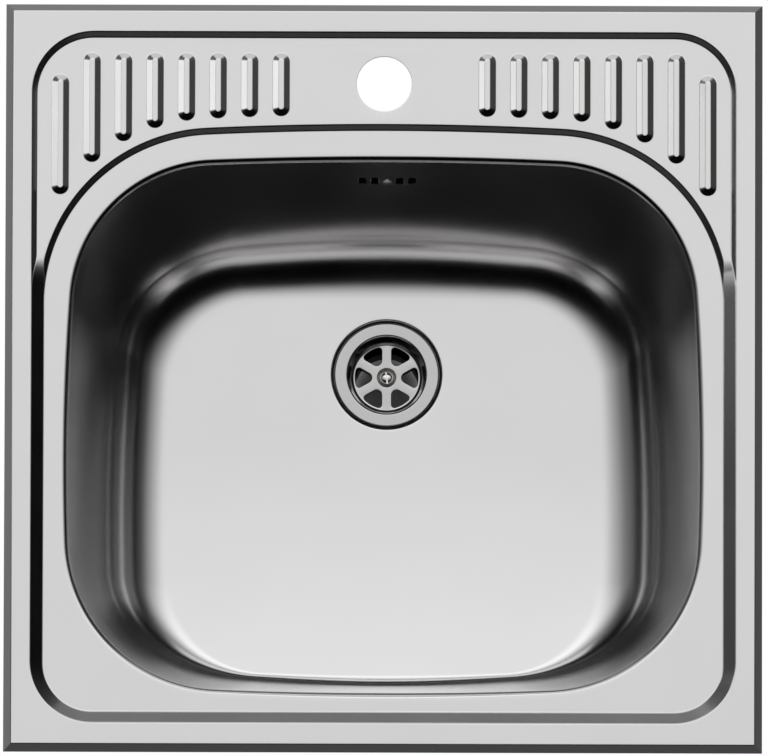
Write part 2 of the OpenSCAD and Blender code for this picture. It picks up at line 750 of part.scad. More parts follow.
module jaw_shape() {
    rear = -leg_in - bracket_t - jaw_fork;
    gap = 2 * run_gap;
    tooth = jaw_w / claw_teeth;
    difference() {
        translate([rear, -jaw_w / 2 - 1.5, jaw_top - jaw_t])
            cube([leg_in + bracket_t + jaw_fork + 2, jaw_w + 3, jaw_t]);
        translate([rear - 1, -leg_w / 2 - gap, jaw_top - jaw_t - 1])
            cube([jaw_fork + bracket_t + 1 + gap, leg_w + 2 * gap, jaw_t + 2]);
        translate([0, 0, jaw_top - jaw_t - 1])
            cylinder(r = clip_screw_d / 2 + run_gap, h = jaw_t + 2, $fn = 48);
    }
    difference() {
        translate([2 - eps, -jaw_w / 2, jaw_top - jaw_t]) cube([jaw_reach - 2 + eps, jaw_w, jaw_t]);
        translate([0, 0, jaw_top - jaw_t - 1])
            cylinder(r = clip_screw_d / 2 + run_gap, h = jaw_t + 2, $fn = 48);
    }
    translate([jaw_reach, -jaw_w / 2, 0]) rotate([0, -90, 0])
        linear_extrude(jaw_t)
            polygon(concat([[jaw_top - jaw_t, 0]],
                           [for (k = [0:claw_teeth - 1])
                               each [[jaw_top + jaw_claw_h - tooth / 2, k * tooth],
                                     [jaw_top + jaw_claw_h, (k + 0.5) * tooth]]],
                           [[jaw_top + jaw_claw_h - tooth / 2, jaw_w], [jaw_top - jaw_t, jaw_w]]));
}

module screw_shape() {
    slot = 1.2;
    translate([0, 0, clip_head_top - eps])
        cylinder(d = clip_screw_d, h = clip_screw_len + eps, $fn = 48);
    difference() {
        translate([0, 0, clip_head_top - clip_head_h])
            cylinder(r = clip_head_r, h = clip_head_h, $fn = 48);
        translate([-clip_head_r - 1, -slot / 2, clip_head_top - clip_head_h - 1])
            cube([2 * clip_head_r + 2, slot, 2.4]);
    }
}

// Puts a clip's piece at its place. Stored, the jaw lies along the rail
module at_clip(i, turned = true) {
    place = clips[i - 1];
    translate([place[0], place[1], 0])
        rotate(place[2] + 90 - (turned ? clip_turn : 0)) children();
}

module clip_rivets() {
    color(bright) for (i = [1:clip_count]) at_clip(i) clip_rivet();
}
module clip_bracket(i) { color(zinc) at_clip(i) bracket_shape(); }
module clip_jaw(i) { color(zinc) at_clip(i) jaw_shape(); }
module clip_screw(i) { color(bright) at_clip(i) screw_shape(); }

// Waste

module at_waste() {
    translate([outlet_x, waste_y, floor_z]) children();
}

// One opening of the grid: a sector between two spokes, with round corners
function opening_points() =
    let (half = 180 / spoke_count,
         outer_r = 2.2,
         reach = strainer_grid_r - 0.5,
         apex = spoke_w / 2 / sin(half),
         tip_r = (dimple_r + hub_land - apex) / (1 / sin(half) - 1),
         start = apex + outer_r / sin(half),
         far = reach - outer_r,
         s = -start * cos(half) + sqrt(far * far - pow(start * sin(half), 2)),
         corner = [start + s * cos(half), s * sin(half)],
         corner_a = atan2(corner.y, corner.x),
         upper = concat([for (k = [0:3]) let (a = corner_a * k / 4) reach * ray(a)],
                        [for (k = [0:5])
                            corner + outer_r * ray(corner_a + (90 + half - corner_a) * k / 5)],
                        [for (k = [0:3])
                            [apex + tip_r / sin(half), 0]
                            + tip_r * ray(90 + half + (90 - half) * k / 4)]))
    concat(upper, [[apex + tip_r / sin(half) - tip_r, 0]],
           [for (k = [len(upper) - 1:-1:1]) [upper[k].x, -upper[k].y]]);

module strainer() {
    flange_w = strainer_d / 2 - strainer_mouth_d / 2;
    grid_w = strainer_grid_r - dimple_r;
    color(steel) at_waste() difference() {
        rotate_extrude($fn = 96)
            strip([[dimple_flat], [dimple_bend_r, dimple_turn], [dimple_len],
                   [dimple_bend_r, -dimple_turn], [grid_w],
                   [strainer_bend_r, strainer_wall_turn], [strainer_wall_len],
                   [strainer_bend_r, -strainer_wall_turn], [flange_w]], strainer_t,
                  [strainer_hole_r, dimple_z]);
        for (k = [0:spoke_count - 1])
            rotate(k * 360 / spoke_count)
                translate([0, 0, grid_z - strainer_t - 1])
                    linear_extrude(strainer_t + 2) polygon(opening_points());
    }
}

module slotted_head(r, h, slot, deep) {
    difference() {
        union() {
            cylinder(r = r, h = h * 0.5, $fn = 48);
            translate([0, 0, h * 0.5]) cylinder(r1 = r, r2 = r * 0.72, h = h * 0.5, $fn = 48);
        }
        translate([-slot / 2, -r - 1, h - deep]) cube([slot, 2 * r + 2, deep + 1]);
    }
}

module strainer_screw() {
    head_r = strainer_hole_r + dimple_flat - run_gap / 2;
    color(bright) at_waste() translate([0, 0, dimple_z]) {
        slotted_head(head_r, 2.2, 1, 1);
        translate([0, 0, -waste_screw_len])
            cylinder(r = waste_screw_r, h = waste_screw_len + eps, $fn = 48);
    }
}

module ring(r1, r2, from, to) {
    translate([0, 0, from]) linear_extrude(to - from) difference() {
        circle(r2, $fn = 96);
        circle(r1, $fn = 96);
    }
}

module flange_seal() {
    color(black) at_waste()
        ring(waste_hole_r, strainer_d / 2 - 0.5, -recess_depth, strainer_top - strainer_t);
}

module bowl_gasket() {
    color(black) at_waste()
        ring(waste_hole_r, body_flange_r - 1.5, gasket_under, recess_under);
}

module screw_insert() {
    color(brass) at_waste()
        ring(waste_screw_r + 0.05, insert_r, insert_top - insert_len, insert_top);
}

module waste_body() {
    inner = waste_hole_r;
    rib_t = 3;
    port = port_z - floor_z;
    color(plastic) at_waste() difference() {
        union() {
            rotate_extrude($fn = 96)
                polygon([[inner, gasket_under], [body_flange_r, gasket_under],
                         [body_flange_r, chamber_top], [body_r, chamber_top],
                         [body_r, chamber_end], [outlet_d / 2, outlet_top],
                         [outlet_d / 2, outlet_end], [outlet_bore_r, outlet_end],
                         [outlet_bore_r, outlet_top], [inner, chamber_end]]);
            translate([0, 0, boss_end]) cylinder(r = boss_r, h = boss_top - boss_end, $fn = 48);
            for (k = [0:2]) rotate(30 + k * 120)
                translate([boss_r - 1, -rib_t / 2, boss_end])
                    cube([inner - boss_r + 1.5, rib_t, 9]);
            translate([0, 0, port]) rotate([-90, 0, 0]) {
                translate([0, 0, inner + 1])
                    cylinder(r = collar_r, h = port_y - waste_y - inner - 1, $fn = 96);
                translate([0, 0, inner + 1])
                    cylinder(r = spigot_r, h = port_y - waste_y - inner - 1 + spigot_len, $fn = 96);
            }
        }
        translate([0, 0, port]) rotate([-90, 0, 0]) translate([0, 0, inner - 3])
            cylinder(r = spigot_bore_r, h = 60, $fn = 96);
        translate([0, 0, insert_top - insert_len]) cylinder(r = insert_r, h = 40, $fn = 48);
        translate([0, 0, boss_end + 1]) cylinder(r = waste_screw_r + 0.5, h = 40, $fn = 48);
    }
}

// Overflow, drawn on the back wall

module cup_shape(d) {
    rotate(90) rounded_slot(cup_w + 2 * d, cup_h + 2 * d);
}

// A plate or a block with the cup's outline, from one y to another
module cup_block(d, from, to) {
    translate([0, to, 0]) rotate([90, 0, 0]) linear_extrude(to - from) cup_shape(d);
}

module overflow_gasket() {
    color(black) at_overflow() difference() {
        cup_block(flange_over, overflow_gasket_gap, cup_from);
        cup_block(-cup_wall, -1, cup_from + 1);
    }
}

module spigot(r, from, to) {
    translate([outlet_x, hose_top_y, from]) cylinder(r = r, h = to - from, $fn = 96);
}

module overflow_housing() {
    boss_len = 12;
    color(plastic) difference() {
        union() {
            difference() {
                union() {
                    at_overflow() {
                        cup_block(flange_over, cup_from, cup_from + 3);
                        cup_block(0, cup_from, cup_from + cup_depth);
                    }
                    spigot(collar_r, hose_top_z, overflow_z - cup_h / 2);
                    spigot(spigot_r, hose_top_z - spigot_len, hose_top_z + 1);
                }
                at_overflow() cup_block(-cup_wall, cup_from - 1, cup_from + cup_depth - cup_wall);
            }
            at_overflow() translate([0, cup_from + cup_depth - 1, 0]) rotate([90, 0, 0])
                cylinder(r = 5, h = cup_depth - 1, $fn = 48);
        }
        spigot(spigot_bore_r, hose_top_z - spigot_len - 1, overflow_z - cup_h / 2 + 2);
        at_overflow() translate([0, boss_len + cup_from, 0]) rotate([90, 0, 0])
            cylinder(r = overflow_screw_r + run_gap / 2, h = boss_len + 10, $fn = 48);
    }
}

module overflow_screw() {
    length = 12;
    inner_face = -sheet_t - 0.05;
    color(bright) at_overflow() rotate([90, 0, 0]) {
        translate([0, 0, -inner_face]) slotted_head(3.6, 1.8, 0.9, 0.8);
        translate([0, 0, -inner_face - length])
            cylinder(r = overflow_screw_r, h = length + eps, $fn = 48);
    }
}

module hose_nut() {
    grips = 12;
    difference() {
        cylinder(r = nut_r, h = nut_len, $fn = 96);
        translate([0, 0, -1]) cylinder(r = nut_bore_r, h = nut_len + 2, $fn = 96);
        for (k = [0:grips - 1]) rotate(k * 360 / grips)
            translate([nut_r + 0.6, 0, -1]) cylinder(r = 1.6, h = nut_len + 2, $fn = 32);
    }
}

module hose_nut_top() {
    color(plastic)
        translate([outlet_x, hose_top_y, hose_top_z + collar_len - nut_len]) hose_nut();
}

module hose_nut_bottom() {
    color(plastic)
        translate([outlet_x, port_y - collar_len, port_z]) rotate([-90, 0, 0]) hose_nut();
}

// The hose's middle at a distance from its upper end: [y, z, degrees of bend]
function hose_at(s) =
    s <= hose_down
        ? [hose_top_y, hose_top_z - s, 0]
        : s <= hose_down + hose_bend_len
            ? let (a = (s - hose_down) / hose_bend_len * 90)
              [hose_top_y - hose_turn_r * (1 - cos(a)),
               port_z + hose_turn_r * (1 - sin(a)), a]
            : [hose_top_y - hose_turn_r - (s - hose_down - hose_bend_len), port_z, 90];

function hose_ring(s, r) =
    let (m = hose_at(s))
    [for (k = [0:hose_side_count - 1])
        let (a = (k + 0.5) * 360 / hose_side_count, out = r * cos(a))
        [outlet_x + r * sin(a), m[0] + out * cos(m[2]), m[1] - out * sin(m[2])]];

// Closed tube from rings listed from one end, round the outside, and back
function tube_faces(rings, n) =
    [for (i = [0:rings - 1], k = [0:n - 1])
        let (j = (i + 1) % rings, l = (k + 1) % n)
        each [[i * n + k, j * n + k, j * n + l], [i * n + k, j * n + l, i * n + l]]];

module overflow_hose() {
    first = (hose_len - hose_ribs * hose_pitch) / 2;
    outside = concat([[soft_gap, hose_valley_r], [first, hose_valley_r]],
                     [for (k = [0:hose_ribs - 1])
                         each [[first + (k + 0.5) * hose_pitch, hose_r],
                               [first + (k + 1) * hose_pitch, hose_valley_r]]],
                     [[hose_len - soft_gap, hose_valley_r]]);
    bore_steps = 24;
    inside = [for (k = [bore_steps:-1:0])
        [soft_gap + (hose_len - 2 * soft_gap) * k / bore_steps, hose_bore_r]];
    all_rings = concat(outside, inside);
    points = [for (ring = all_rings) each hose_ring(ring[0], ring[1])];
    color(black) polyhedron(points, tube_faces(len(all_rings), hose_side_count));
}

sink_top();
sink_bowl();
rim_seal();
sound_pad();
side_rail(180);  // rail_left
side_rail(0);  // rail_right
rail_front();
rail_back(-1);  // rail_back_left
rail_back(1);  // rail_back_right
clip_rivets();
for (i = [1:clip_count]) {
    clip_bracket(i);
    clip_jaw(i);
    clip_screw(i);
}
strainer();
strainer_screw();
flange_seal();
bowl_gasket();
waste_body();
screw_insert();
overflow_gasket();
overflow_housing();
overflow_screw();
overflow_hose();
hose_nut_top();
hose_nut_bottom();
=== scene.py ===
# %% [markdown]
# # An inset kitchen sink, dressed in Blender
# A sink like this is pressed from one thin sheet of stainless steel. The CAD
# model is loaded first and is never moved: each piece below is made at its real
# place around it. Lengths are written in millimetres, as on a drawing, and
# become metres when a mesh is made.

# %% Load the CAD model
import math

import bmesh
import bpy
from mathutils import Matrix, Vector, geometry


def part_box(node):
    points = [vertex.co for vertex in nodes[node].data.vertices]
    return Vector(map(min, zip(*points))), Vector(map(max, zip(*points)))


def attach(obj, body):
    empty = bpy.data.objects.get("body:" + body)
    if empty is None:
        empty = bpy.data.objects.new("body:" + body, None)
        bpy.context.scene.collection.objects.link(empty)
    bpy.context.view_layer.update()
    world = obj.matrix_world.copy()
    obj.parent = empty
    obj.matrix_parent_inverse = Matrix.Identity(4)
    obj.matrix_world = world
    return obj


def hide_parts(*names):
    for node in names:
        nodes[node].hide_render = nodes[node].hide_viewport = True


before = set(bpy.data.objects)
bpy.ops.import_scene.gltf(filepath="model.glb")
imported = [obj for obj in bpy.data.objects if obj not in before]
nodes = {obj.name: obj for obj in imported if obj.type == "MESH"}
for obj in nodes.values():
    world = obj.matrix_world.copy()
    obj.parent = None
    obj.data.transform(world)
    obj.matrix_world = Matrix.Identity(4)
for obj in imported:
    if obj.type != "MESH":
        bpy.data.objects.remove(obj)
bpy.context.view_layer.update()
MM = 0.001

# %% [markdown]
# ## The camera
# The picture looks almost straight down, from a little in front of the sink,
# and edges that are parallel on the sink stay so. An orthographic camera would
# give that, but a very long lens from far away is what a photographer uses. The
# rim is 480 mm wide and takes 757.7 pixels, so 768 pixels show 486.5 mm.

# %% Place the camera
RIM_Z = 5.6
LOOK_DOWN = math.radians(80.6)
ROLL = math.radians(0.16)
SENSOR, SHOWN_WIDTH = 36.0, 486.5
AIM_X, AIM_Y = 0.32, -0.58
DISTANCE, NEAR, FAR = 20.0, 0.5, 100.0

lens = bpy.data.cameras.new("long_lens")
lens.sensor_width = SENSOR
lens.lens = SENSOR * DISTANCE / (SHOWN_WIDTH * MM)
lens.clip_start, lens.clip_end = NEAR, FAR
camera = bpy.data.objects.new("camera", lens)
towards_camera = Vector((0, -math.cos(LOOK_DOWN), math.sin(LOOK_DOWN)))
aim = Vector((AIM_X, AIM_Y, RIM_Z)) * MM
camera.matrix_world = (
    Matrix.Translation(aim + towards_camera * DISTANCE)
    @ towards_camera.to_track_quat("Z", "Y").to_matrix().to_4x4()
    @ Matrix.Rotation(ROLL, 4, "Z")
)
bpy.context.scene.collection.objects.link(camera)
bpy.context.scene.camera = camera
print("lens:", round(lens.lens), "mm at", DISTANCE, "m")

# %% [markdown]
# ## One helper for every node tree
# Geometry Nodes trees, materials and the world are all node trees. One function
# adds a node, sets its properties, and fills its inputs. An input takes a plain
# value, or a link from a socket or from a node's first output, or a list of
# links. A second function turns a colour written as sRGB hex into the linear
# colour that shaders work in.


# %% Node and colour helpers
def add(tree, kind, put=None, **settings):
    node = tree.nodes.new(kind)
    for name, value in settings.items():
        setattr(node, name, value)
    for key, value in (put or {}).items():
        for part in value if isinstance(value, list) else [value]:
            if isinstance(part, bpy.types.Node):
                part = part.outputs[0]
            if isinstance(part, bpy.types.NodeSocket):
                tree.links.new(part, node.inputs[key])
            else:
                node.inputs[key].default_value = part
    return node


def linear(hex_colour):
    parts = [int(hex_colour[i : i + 2], 16) / 255 for i in (1, 3, 5)]
    return tuple(c / 12.92 if c < 0.04045 else ((c + 0.055) / 1.055) ** 2.4 for c in parts) + (1,)


print("mid grey is", [round(c, 3) for c in linear("#808080")[:3]])

# %% [markdown]
# ## Outlines
# Each edge of the pressing is a closed line of arcs that is alike on both
# sides: the steps, the mouth of the bowl and its floor. The right half is kept
# as a list of arcs from the front to the back, as the toolmaker would draw it.
# A station is a point on the line with its outward direction, so the same
# stations serve for the line moved in or out by any distance.


# %% Stations along a line of arcs
def ray(degrees):
    return Vector((math.cos(math.radians(degrees)), math.sin(math.radians(degrees))))


def mirrored_stations(right):
    """The left half's stations, which carry on from the right half's."""
    return [(Vector((-p.x, p.y)), Vector((-out.x, out.y))) for p, out in reversed(right) if p.x > 0.001]


def stations(arcs, steps):
    right = []
    for (centre, radius, start, end), count in zip(arcs, steps):
        for k in range(count + 1):
            out = ray(start + (end - start) * k / count)
            here = centre + radius * out
            if not right or (here - right[-1][0]).length > 0.001:
                right.append((here, out))
    return right + mirrored_stations(right)


def moved(line, distance):
    return [p + out * distance for p, out in line]


print("a ray at 90 degrees:", [round(c, 3) for c in ray(90)])

# %% [markdown]
# ## A bowed outline
# The mouth and the floor of the bowl are round-cornered squares with slightly
# bowed sides. Two large arcs and the corner arc between them touch where their
# centres lie in line, so a corner's centre is where two circles about the large
# arcs' centres meet. It could be drawn as a spline, but then no radius is known.


# %% Five arcs that touch
def circles_meet(c1, r1, c2, r2, side):
    d = c2 - c1
    a = (r1 * r1 - r2 * r2 + d.length_squared) / (2 * d.length)
    across = Vector((-d.y, d.x)).normalized()
    if across.dot(Vector(side)) < 0:
        across = -across
    return c1 + d.normalized() * a + across * math.sqrt(r1 * r1 - a * a)


def bearing(start, end):
    return math.degrees(math.atan2(end.y - start.y, end.x - start.x))


def bowed_outline(back, front, half_width, widest_y, radii):
    """The right half of an outline. Radii: back, side, front, then the corners."""
    back_r, side_r, front_r, back_corner, front_corner = radii
    side_c = Vector((half_width - side_r, widest_y))
    back_c = Vector((0, back - back_r))
    front_c = Vector((0, front + front_r))
    k1 = circles_meet(back_c, back_r - back_corner, side_c, side_r - back_corner, (1, 1))
    k2 = circles_meet(side_c, side_r - front_corner, front_c, front_r - front_corner, (1, -1))
    turns = [bearing(front_c, k2), bearing(side_c, k2), bearing(side_c, k1), bearing(back_c, k1)]
    return [
        (front_c, front_r, -90, turns[0]),
        (k2, front_corner, turns[0], turns[1]),
        (side_c, side_r, turns[1], turns[2]),
        (k1, back_corner, turns[2], turns[3]),
        (back_c, back_r, turns[3], 90),
    ]


MOUTH_BACK = 143.5
ARC_STEPS = (24, 40, 24, 40, 30)
mouth_arcs = bowed_outline(MOUTH_BACK, -205, 204, -52, (2450, 1500, 1940, 94, 100))
floor_arcs = bowed_outline(78, -166.5, 137, -50, (2200, 1400, 1900, 54, 62))
mouth = stations(mouth_arcs, ARC_STEPS)
print("mouth:", len(mouth), "stations")

# %% [markdown]
# ## The edges of this sink
# The outer step is a rectangle with round corners. The inner step runs beside
# it at the sides and the front, and swings in behind the bowl, which leaves the
# ledge for the tap. The numbers are the CAD model's; the floor's outline was
# measured on the picture.

# %% Levels and steps of the deck
SHEET = 0.8
PANEL_Z, LAND_Z, FLOOR_Z = RIM_Z - 3, RIM_Z - 6, RIM_Z - 160
STEP_RUN, STEP_DROP, STEP_GAP = 4.4, 3.0, 0.5
STEP1_X, STEP1_R = 224.0, 40.0
step1_corner = Vector((STEP1_X - STEP1_R, 182.5))

LEDGE_R, LEDGE_CORNER, LAND_BEHIND = 2300.0, 112.0, 15.6
step2_in = STEP_RUN + STEP_GAP
ledge_k = Vector((STEP1_X - step2_in - LEDGE_CORNER, 0))
ledge_turn = math.degrees(math.acos(ledge_k.x / (LEDGE_R - LEDGE_CORNER)))
ledge_centre = Vector((0, MOUTH_BACK + LAND_BEHIND + STEP_RUN - LEDGE_R))
ledge_k.y = ledge_centre.y + (LEDGE_R - LEDGE_CORNER) * math.sin(math.radians(ledge_turn))
print("the ledge's corner turns about", [round(c, 1) for c in ledge_k])

# %% [markdown]
# ## Sections of pressed sheet
# Pressing draws the sheet over round edges, so a section is flats joined by
# bends. `bent` walks along such a section and turns it into short chords. A
# Bevel modifier could round sharp edges instead, but here each radius is known.


# %% Bends and slopes
def bent(moves, at, heading=0.0, chord=7.0):
    """Points of a section. A move is (length,) or (radius, turn in degrees)."""
    points, at = [Vector(at)], Vector(at)
    for move in moves:
        if len(move) == 1:
            at = at + ray(heading) * move[0]
            points.append(at)
            continue
        radius, turn = move
        side = 1 if turn > 0 else -1
        centre = at + ray(heading + 90) * radius * side
        count = max(2, math.ceil(abs(turn) / chord))
        for k in range(1, count + 1):
            points.append(centre - ray(heading + turn * k / count + 90) * radius * side)
        heading += turn
        at = points[-1]
    return points


def slope(run, drop, radius, count=5):
    """A bend, a straight slope and a bend back: steps in and down from 0, 0."""
    low, high = 1.0, math.degrees(math.asin(min(1, run / (2 * radius))))
    for _ in range(40):
        a = math.radians((low + high) / 2)
        straight = (run - 2 * radius * math.sin(a)) / math.cos(a)
        fall = 2 * radius * (1 - math.cos(a)) + straight * math.sin(a)
        low, high = ((low + high) / 2, high) if fall < drop else (low, (low + high) / 2)
    return bent([(radius, -low), (straight,), (radius, low)], (0, 0), chord=low / count * 1.001)


STEP_BEND = 1.5
one_step = slope(STEP_RUN, STEP_DROP, STEP_BEND)
print("a step has", len(one_step), "points")

# %% [markdown]
# ## A sheet of faces
# A pressing is drawn here as one surface of faces that share their points.
# `grid` joins rows of points, as a loft does, and `fill` covers a flat between
# outlines with a Delaunay triangulation that leaves the holes open. Points that
# fall together become one, so neighbouring patches join without a seam.


# %% Grids and fills
def firsts(loops):
    return [sum(len(loop) for loop in loops[:k]) for k in range(len(loops))]


def inside(p, loop):
    crossings = False
    for a, b in zip(loop, loop[1:] + loop[:1]):
        if (a[1] > p.y) != (b[1] > p.y):
            if p.x < a[0] + (b[0] - a[0]) * (p.y - a[1]) / (b[1] - a[1]):
                crossings = not crossings
    return crossings


class Sheet:
    def __init__(self):
        self.mesh = bmesh.new()
        self.known = {}

    def point(self, p):
        key = tuple(round(c, 3) for c in p)
        if key not in self.known:
            self.known[key] = self.mesh.verts.new(Vector(p) * MM)
        return self.known[key]

    def face(self, points):
        corners = []
        for p in points:
            v = self.point(p)
            if v not in corners:
                corners.append(v)
        if len(corners) > 2 and not self.mesh.faces.get(corners):
            self.mesh.faces.new(corners)

    def grid(self, rows, closed=True):
        for low, high in zip(rows, rows[1:]):
            for k in range(len(low) if closed else len(low) - 1):
                j = (k + 1) % len(low)
                self.face((low[k], low[j], high[j], high[k]))

    def fill(self, loops, seen_along="xy"):
        """Covers what lies between the loops, as seen along two of the axes."""
        solid = [p for loop in loops for p in loop]
        flat = [Vector([p["xyz".index(axis)] for axis in seen_along]) for p in solid]
        edges, drawn = [], []
        for first, loop in zip(firsts(loops), loops):
            edges += [(first + k, first + (k + 1) % len(loop)) for k in range(len(loop))]
            drawn.append(flat[first : first + len(loop)])
        made = geometry.delaunay_2d_cdt(flat, edges, [], 1, 1e-6)
        for corners in made[2]:
            middle = sum((made[0][k] for k in corners), Vector((0, 0))) / len(corners)
            if sum(inside(middle, loop) for loop in drawn) % 2:
                self.face([solid[made[3][k][0]] for k in corners])


square = Sheet()
square.fill([[(0, 0, 0), (1, 0, 0), (1, 1, 0), (0, 1, 0)]])
print("a filled square has", len(square.mesh.faces), "faces")
square.mesh.free()

# %% [markdown]
# ## Round and level lines
# Three small helpers place lines in space: `level` lays a flat line at a height,
# `ring` gives the points of a circle, and `revolve` turns a section round a
# centre, as metal is turned on a lathe.


# %% Rings and turned surfaces
def level(line, z):
    return [(p[0], p[1], z) for p in line]


def ring(centre, radius, count):
    return [Vector(centre) + ray(360 * k / count) * radius for k in range(count)]


def revolve(sheet, centre, section, count=96):
    sheet.grid([level(ring(centre, s[0], count), s[1]) for s in section])


print("a ring:", [tuple(round(c, 1) for c in p) for p in ring((0, 0), 1, 4)])

# %% [markdown]
# ## From sheet to solid
# A single surface has no thickness, and the real sheet is 0.8 mm. Solidify
# gives it that on the hidden side. Large flats that meet narrow bends shade
# badly with plain smooth normals, so a Weighted Normal modifier lets each flat
# keep its own direction. Only true edges, such as the mitres, are marked sharp.


# %% Give a sheet its thickness and its normals
def new_object(name, mesh):
    thing = bpy.data.objects.new(name, mesh)
    bpy.context.scene.collection.objects.link(thing)
    return thing


def settle(thing):
    """The object's mesh with its modifiers applied, as a plain mesh."""
    seen = thing.evaluated_get(bpy.context.evaluated_depsgraph_get())
    mesh = bpy.data.meshes.new_from_object(seen)
    thing.modifiers.clear()
    thing.data = mesh
    mesh.name = thing.name
    return thing


def smooth(thing, sharp_over=38):
    mesh = thing.data
    mesh.shade_smooth()
    mesh.set_sharp_from_angle(angle=math.radians(sharp_over))
    even = thing.modifiers.new("flats stay flat", "WEIGHTED_NORMAL")
    even.keep_sharp = True
    return settle(thing)


def solid_sheet(name, sheet, thickness, material):
    bm = sheet.mesh
    bmesh.ops.recalc_face_normals(bm, faces=bm.faces)
    if sum(f.normal.z * f.calc_area() for f in bm.faces) < 0:
        bmesh.ops.reverse_faces(bm, faces=bm.faces)
    mesh = bpy.data.meshes.new(name)
    bm.to_mesh(mesh)
    bm.free()
    thing = new_object(name, mesh)
    wall = thing.modifiers.new("thickness", "SOLIDIFY")
    wall.thickness, wall.offset, wall.use_even_offset = thickness * MM, -1, True
    smooth(settle(thing))
    thing.data.materials.clear()
    thing.data.materials.append(material)
    print(name, "has", len(thing.data.polygons), "faces")
    return thing


print("sheet metal is", SHEET, "mm thick")

# %% [markdown]
# ## Satin stainless steel
# The sheet is type 304 stainless steel with a satin finish from fine abrasive
# belts. It is a bare metal: its colour is the grey of its own reflection, and
# everything else comes from roughness. The belt leaves a grain of about 0.1 mm,
# too fine to show at this distance, so it is drawn 0.5 mm wide and faint. Wear
# and cleaning leave soft, cloudy changes of gloss some centimetres across.


# %% Steel material
def new_material(name):
    """An empty material, its tree, and the place of a point on the piece."""
    material = bpy.data.materials.new(name)
    material.use_nodes = True
    tree = material.node_tree
    tree.nodes.clear()
    return material, tree, add(tree, "ShaderNodeTexCoord").outputs["Object"]


CLOUD_LOW, CLOUD_HIGH = 0.3, 0.7


def metal_material(name, colour, roughness, cloud_mm, cloud, grain_mm, grain, stretch=1.0):
    material, tree, place = new_material(name)
    clouds = add(tree, "ShaderNodeTexNoise", {"Vector": place, "Scale": 1000 / cloud_mm, "Detail": 3.0})
    long_way = add(tree, "ShaderNodeMapping", {"Vector": place, "Scale": (1 / stretch, 1, 1)})
    scratches = add(tree, "ShaderNodeTexNoise", {"Vector": long_way, "Scale": 1000 / grain_mm, "Detail": 2.0})
    rough = add(
        tree, "ShaderNodeMapRange",
        {0: clouds, 1: CLOUD_LOW, 2: CLOUD_HIGH, 3: roughness - cloud, 4: roughness + cloud},
    )
    bump = add(tree, "ShaderNodeBump", {"Height": scratches, "Distance": grain * MM, "Strength": 1.0})
    shader = add(
        tree, "ShaderNodeBsdfPrincipled",
        {"Base Color": linear(colour), "Metallic": 1.0, "Roughness": rough, "Normal": bump},
    )
    add(tree, "ShaderNodeOutputMaterial", {"Surface": shader})
    return material


satin_steel = metal_material(
    "satin stainless steel", "#dad9d9", 0.2,
    cloud_mm=60, cloud=0.015, grain_mm=0.5, grain=0.0012, stretch=10,
)
print("the sheet's finish:", satin_steel.name)

# %% [markdown]
# ## The deck's rim
# The deck starts at the outer edge: a bevel, a fold, the flat rim, the outer
# step, the panel, the inner step and the land round the bowl. It could be cut
# from a subdivided box, but every edge here is a swept section, so sections
# swept round the outlines give the true shape. The bevel's corners are mitred.

# %% Sweep the rim
deck = Sheet()
HALF, BEVEL_W, BEVEL_DROP, FOLD_R = 240.0, 4.8, 4.6, 1.2
bevel = math.atan2(BEVEL_DROP, BEVEL_W)
fold_start = BEVEL_W + FOLD_R * math.tan(bevel / 2)
bevel_len = (fold_start - FOLD_R * math.sin(bevel)) / math.cos(bevel)
rim_moves = [(FOLD_R, -math.degrees(bevel)), (bevel_len,)]
rim_section = bent(rim_moves, (-fold_start, RIM_Z), chord=9)
for turn in range(4):
    quarter = Matrix.Rotation(math.radians(90 * turn), 3, "Z")
    rows = []
    for s in rim_section:
        reach = HALF + s.x
        rows.append([tuple(quarter @ Vector((reach, end * reach, s.y))) for end in (-1, 1)])
    deck.grid(rows, closed=False)
print("rim:", len(deck.mesh.faces), "faces")

# %% [markdown]
# ## Two steps that run into one
# Beside the bowl the two steps lie against each other and read as one slope
# 6 mm deep. Behind the bowl the inner one swings away, and the level panel
# opens between them. Each station therefore has two sections, one of a single
# slope and one of two steps with a flat between, and is a mix of both: all one
# slope at the sides, all two steps where the panel is 4 mm wide.

# %% The joined step at the front and the sides
JOINED_BEND, PANEL_OPEN = 2.0, 4.0
CORNER_STEPS, OPENING_STEPS = 24, 16
both_steps = slope(2 * STEP_RUN + STEP_GAP, 2 * STEP_DROP, JOINED_BEND, count=11)
down, right_way = Vector((0, -1)), Vector((1, 0))


def step_row(outer, out1, edge, out2, share):
    """Points from the rim down to the land at one station."""
    foot = edge - out2 * STEP_RUN
    apart = [(outer - out1 * s.x, RIM_Z + s.y) for s in one_step]
    apart += [(edge - out2 * s.x, PANEL_Z + s.y) for s in one_step]
    joined = [(outer.lerp(foot, s.x / both_steps[-1].x), RIM_Z + s.y) for s in both_steps]
    row = []
    for (p, z), (q, w) in zip(joined, apart):
        at = p.lerp(q, share)
        row.append((at.x, at.y, z + (w - z) * share))
    return row


def mirrored(row):
    return [(-p[0],) + tuple(p[1:]) for p in row]


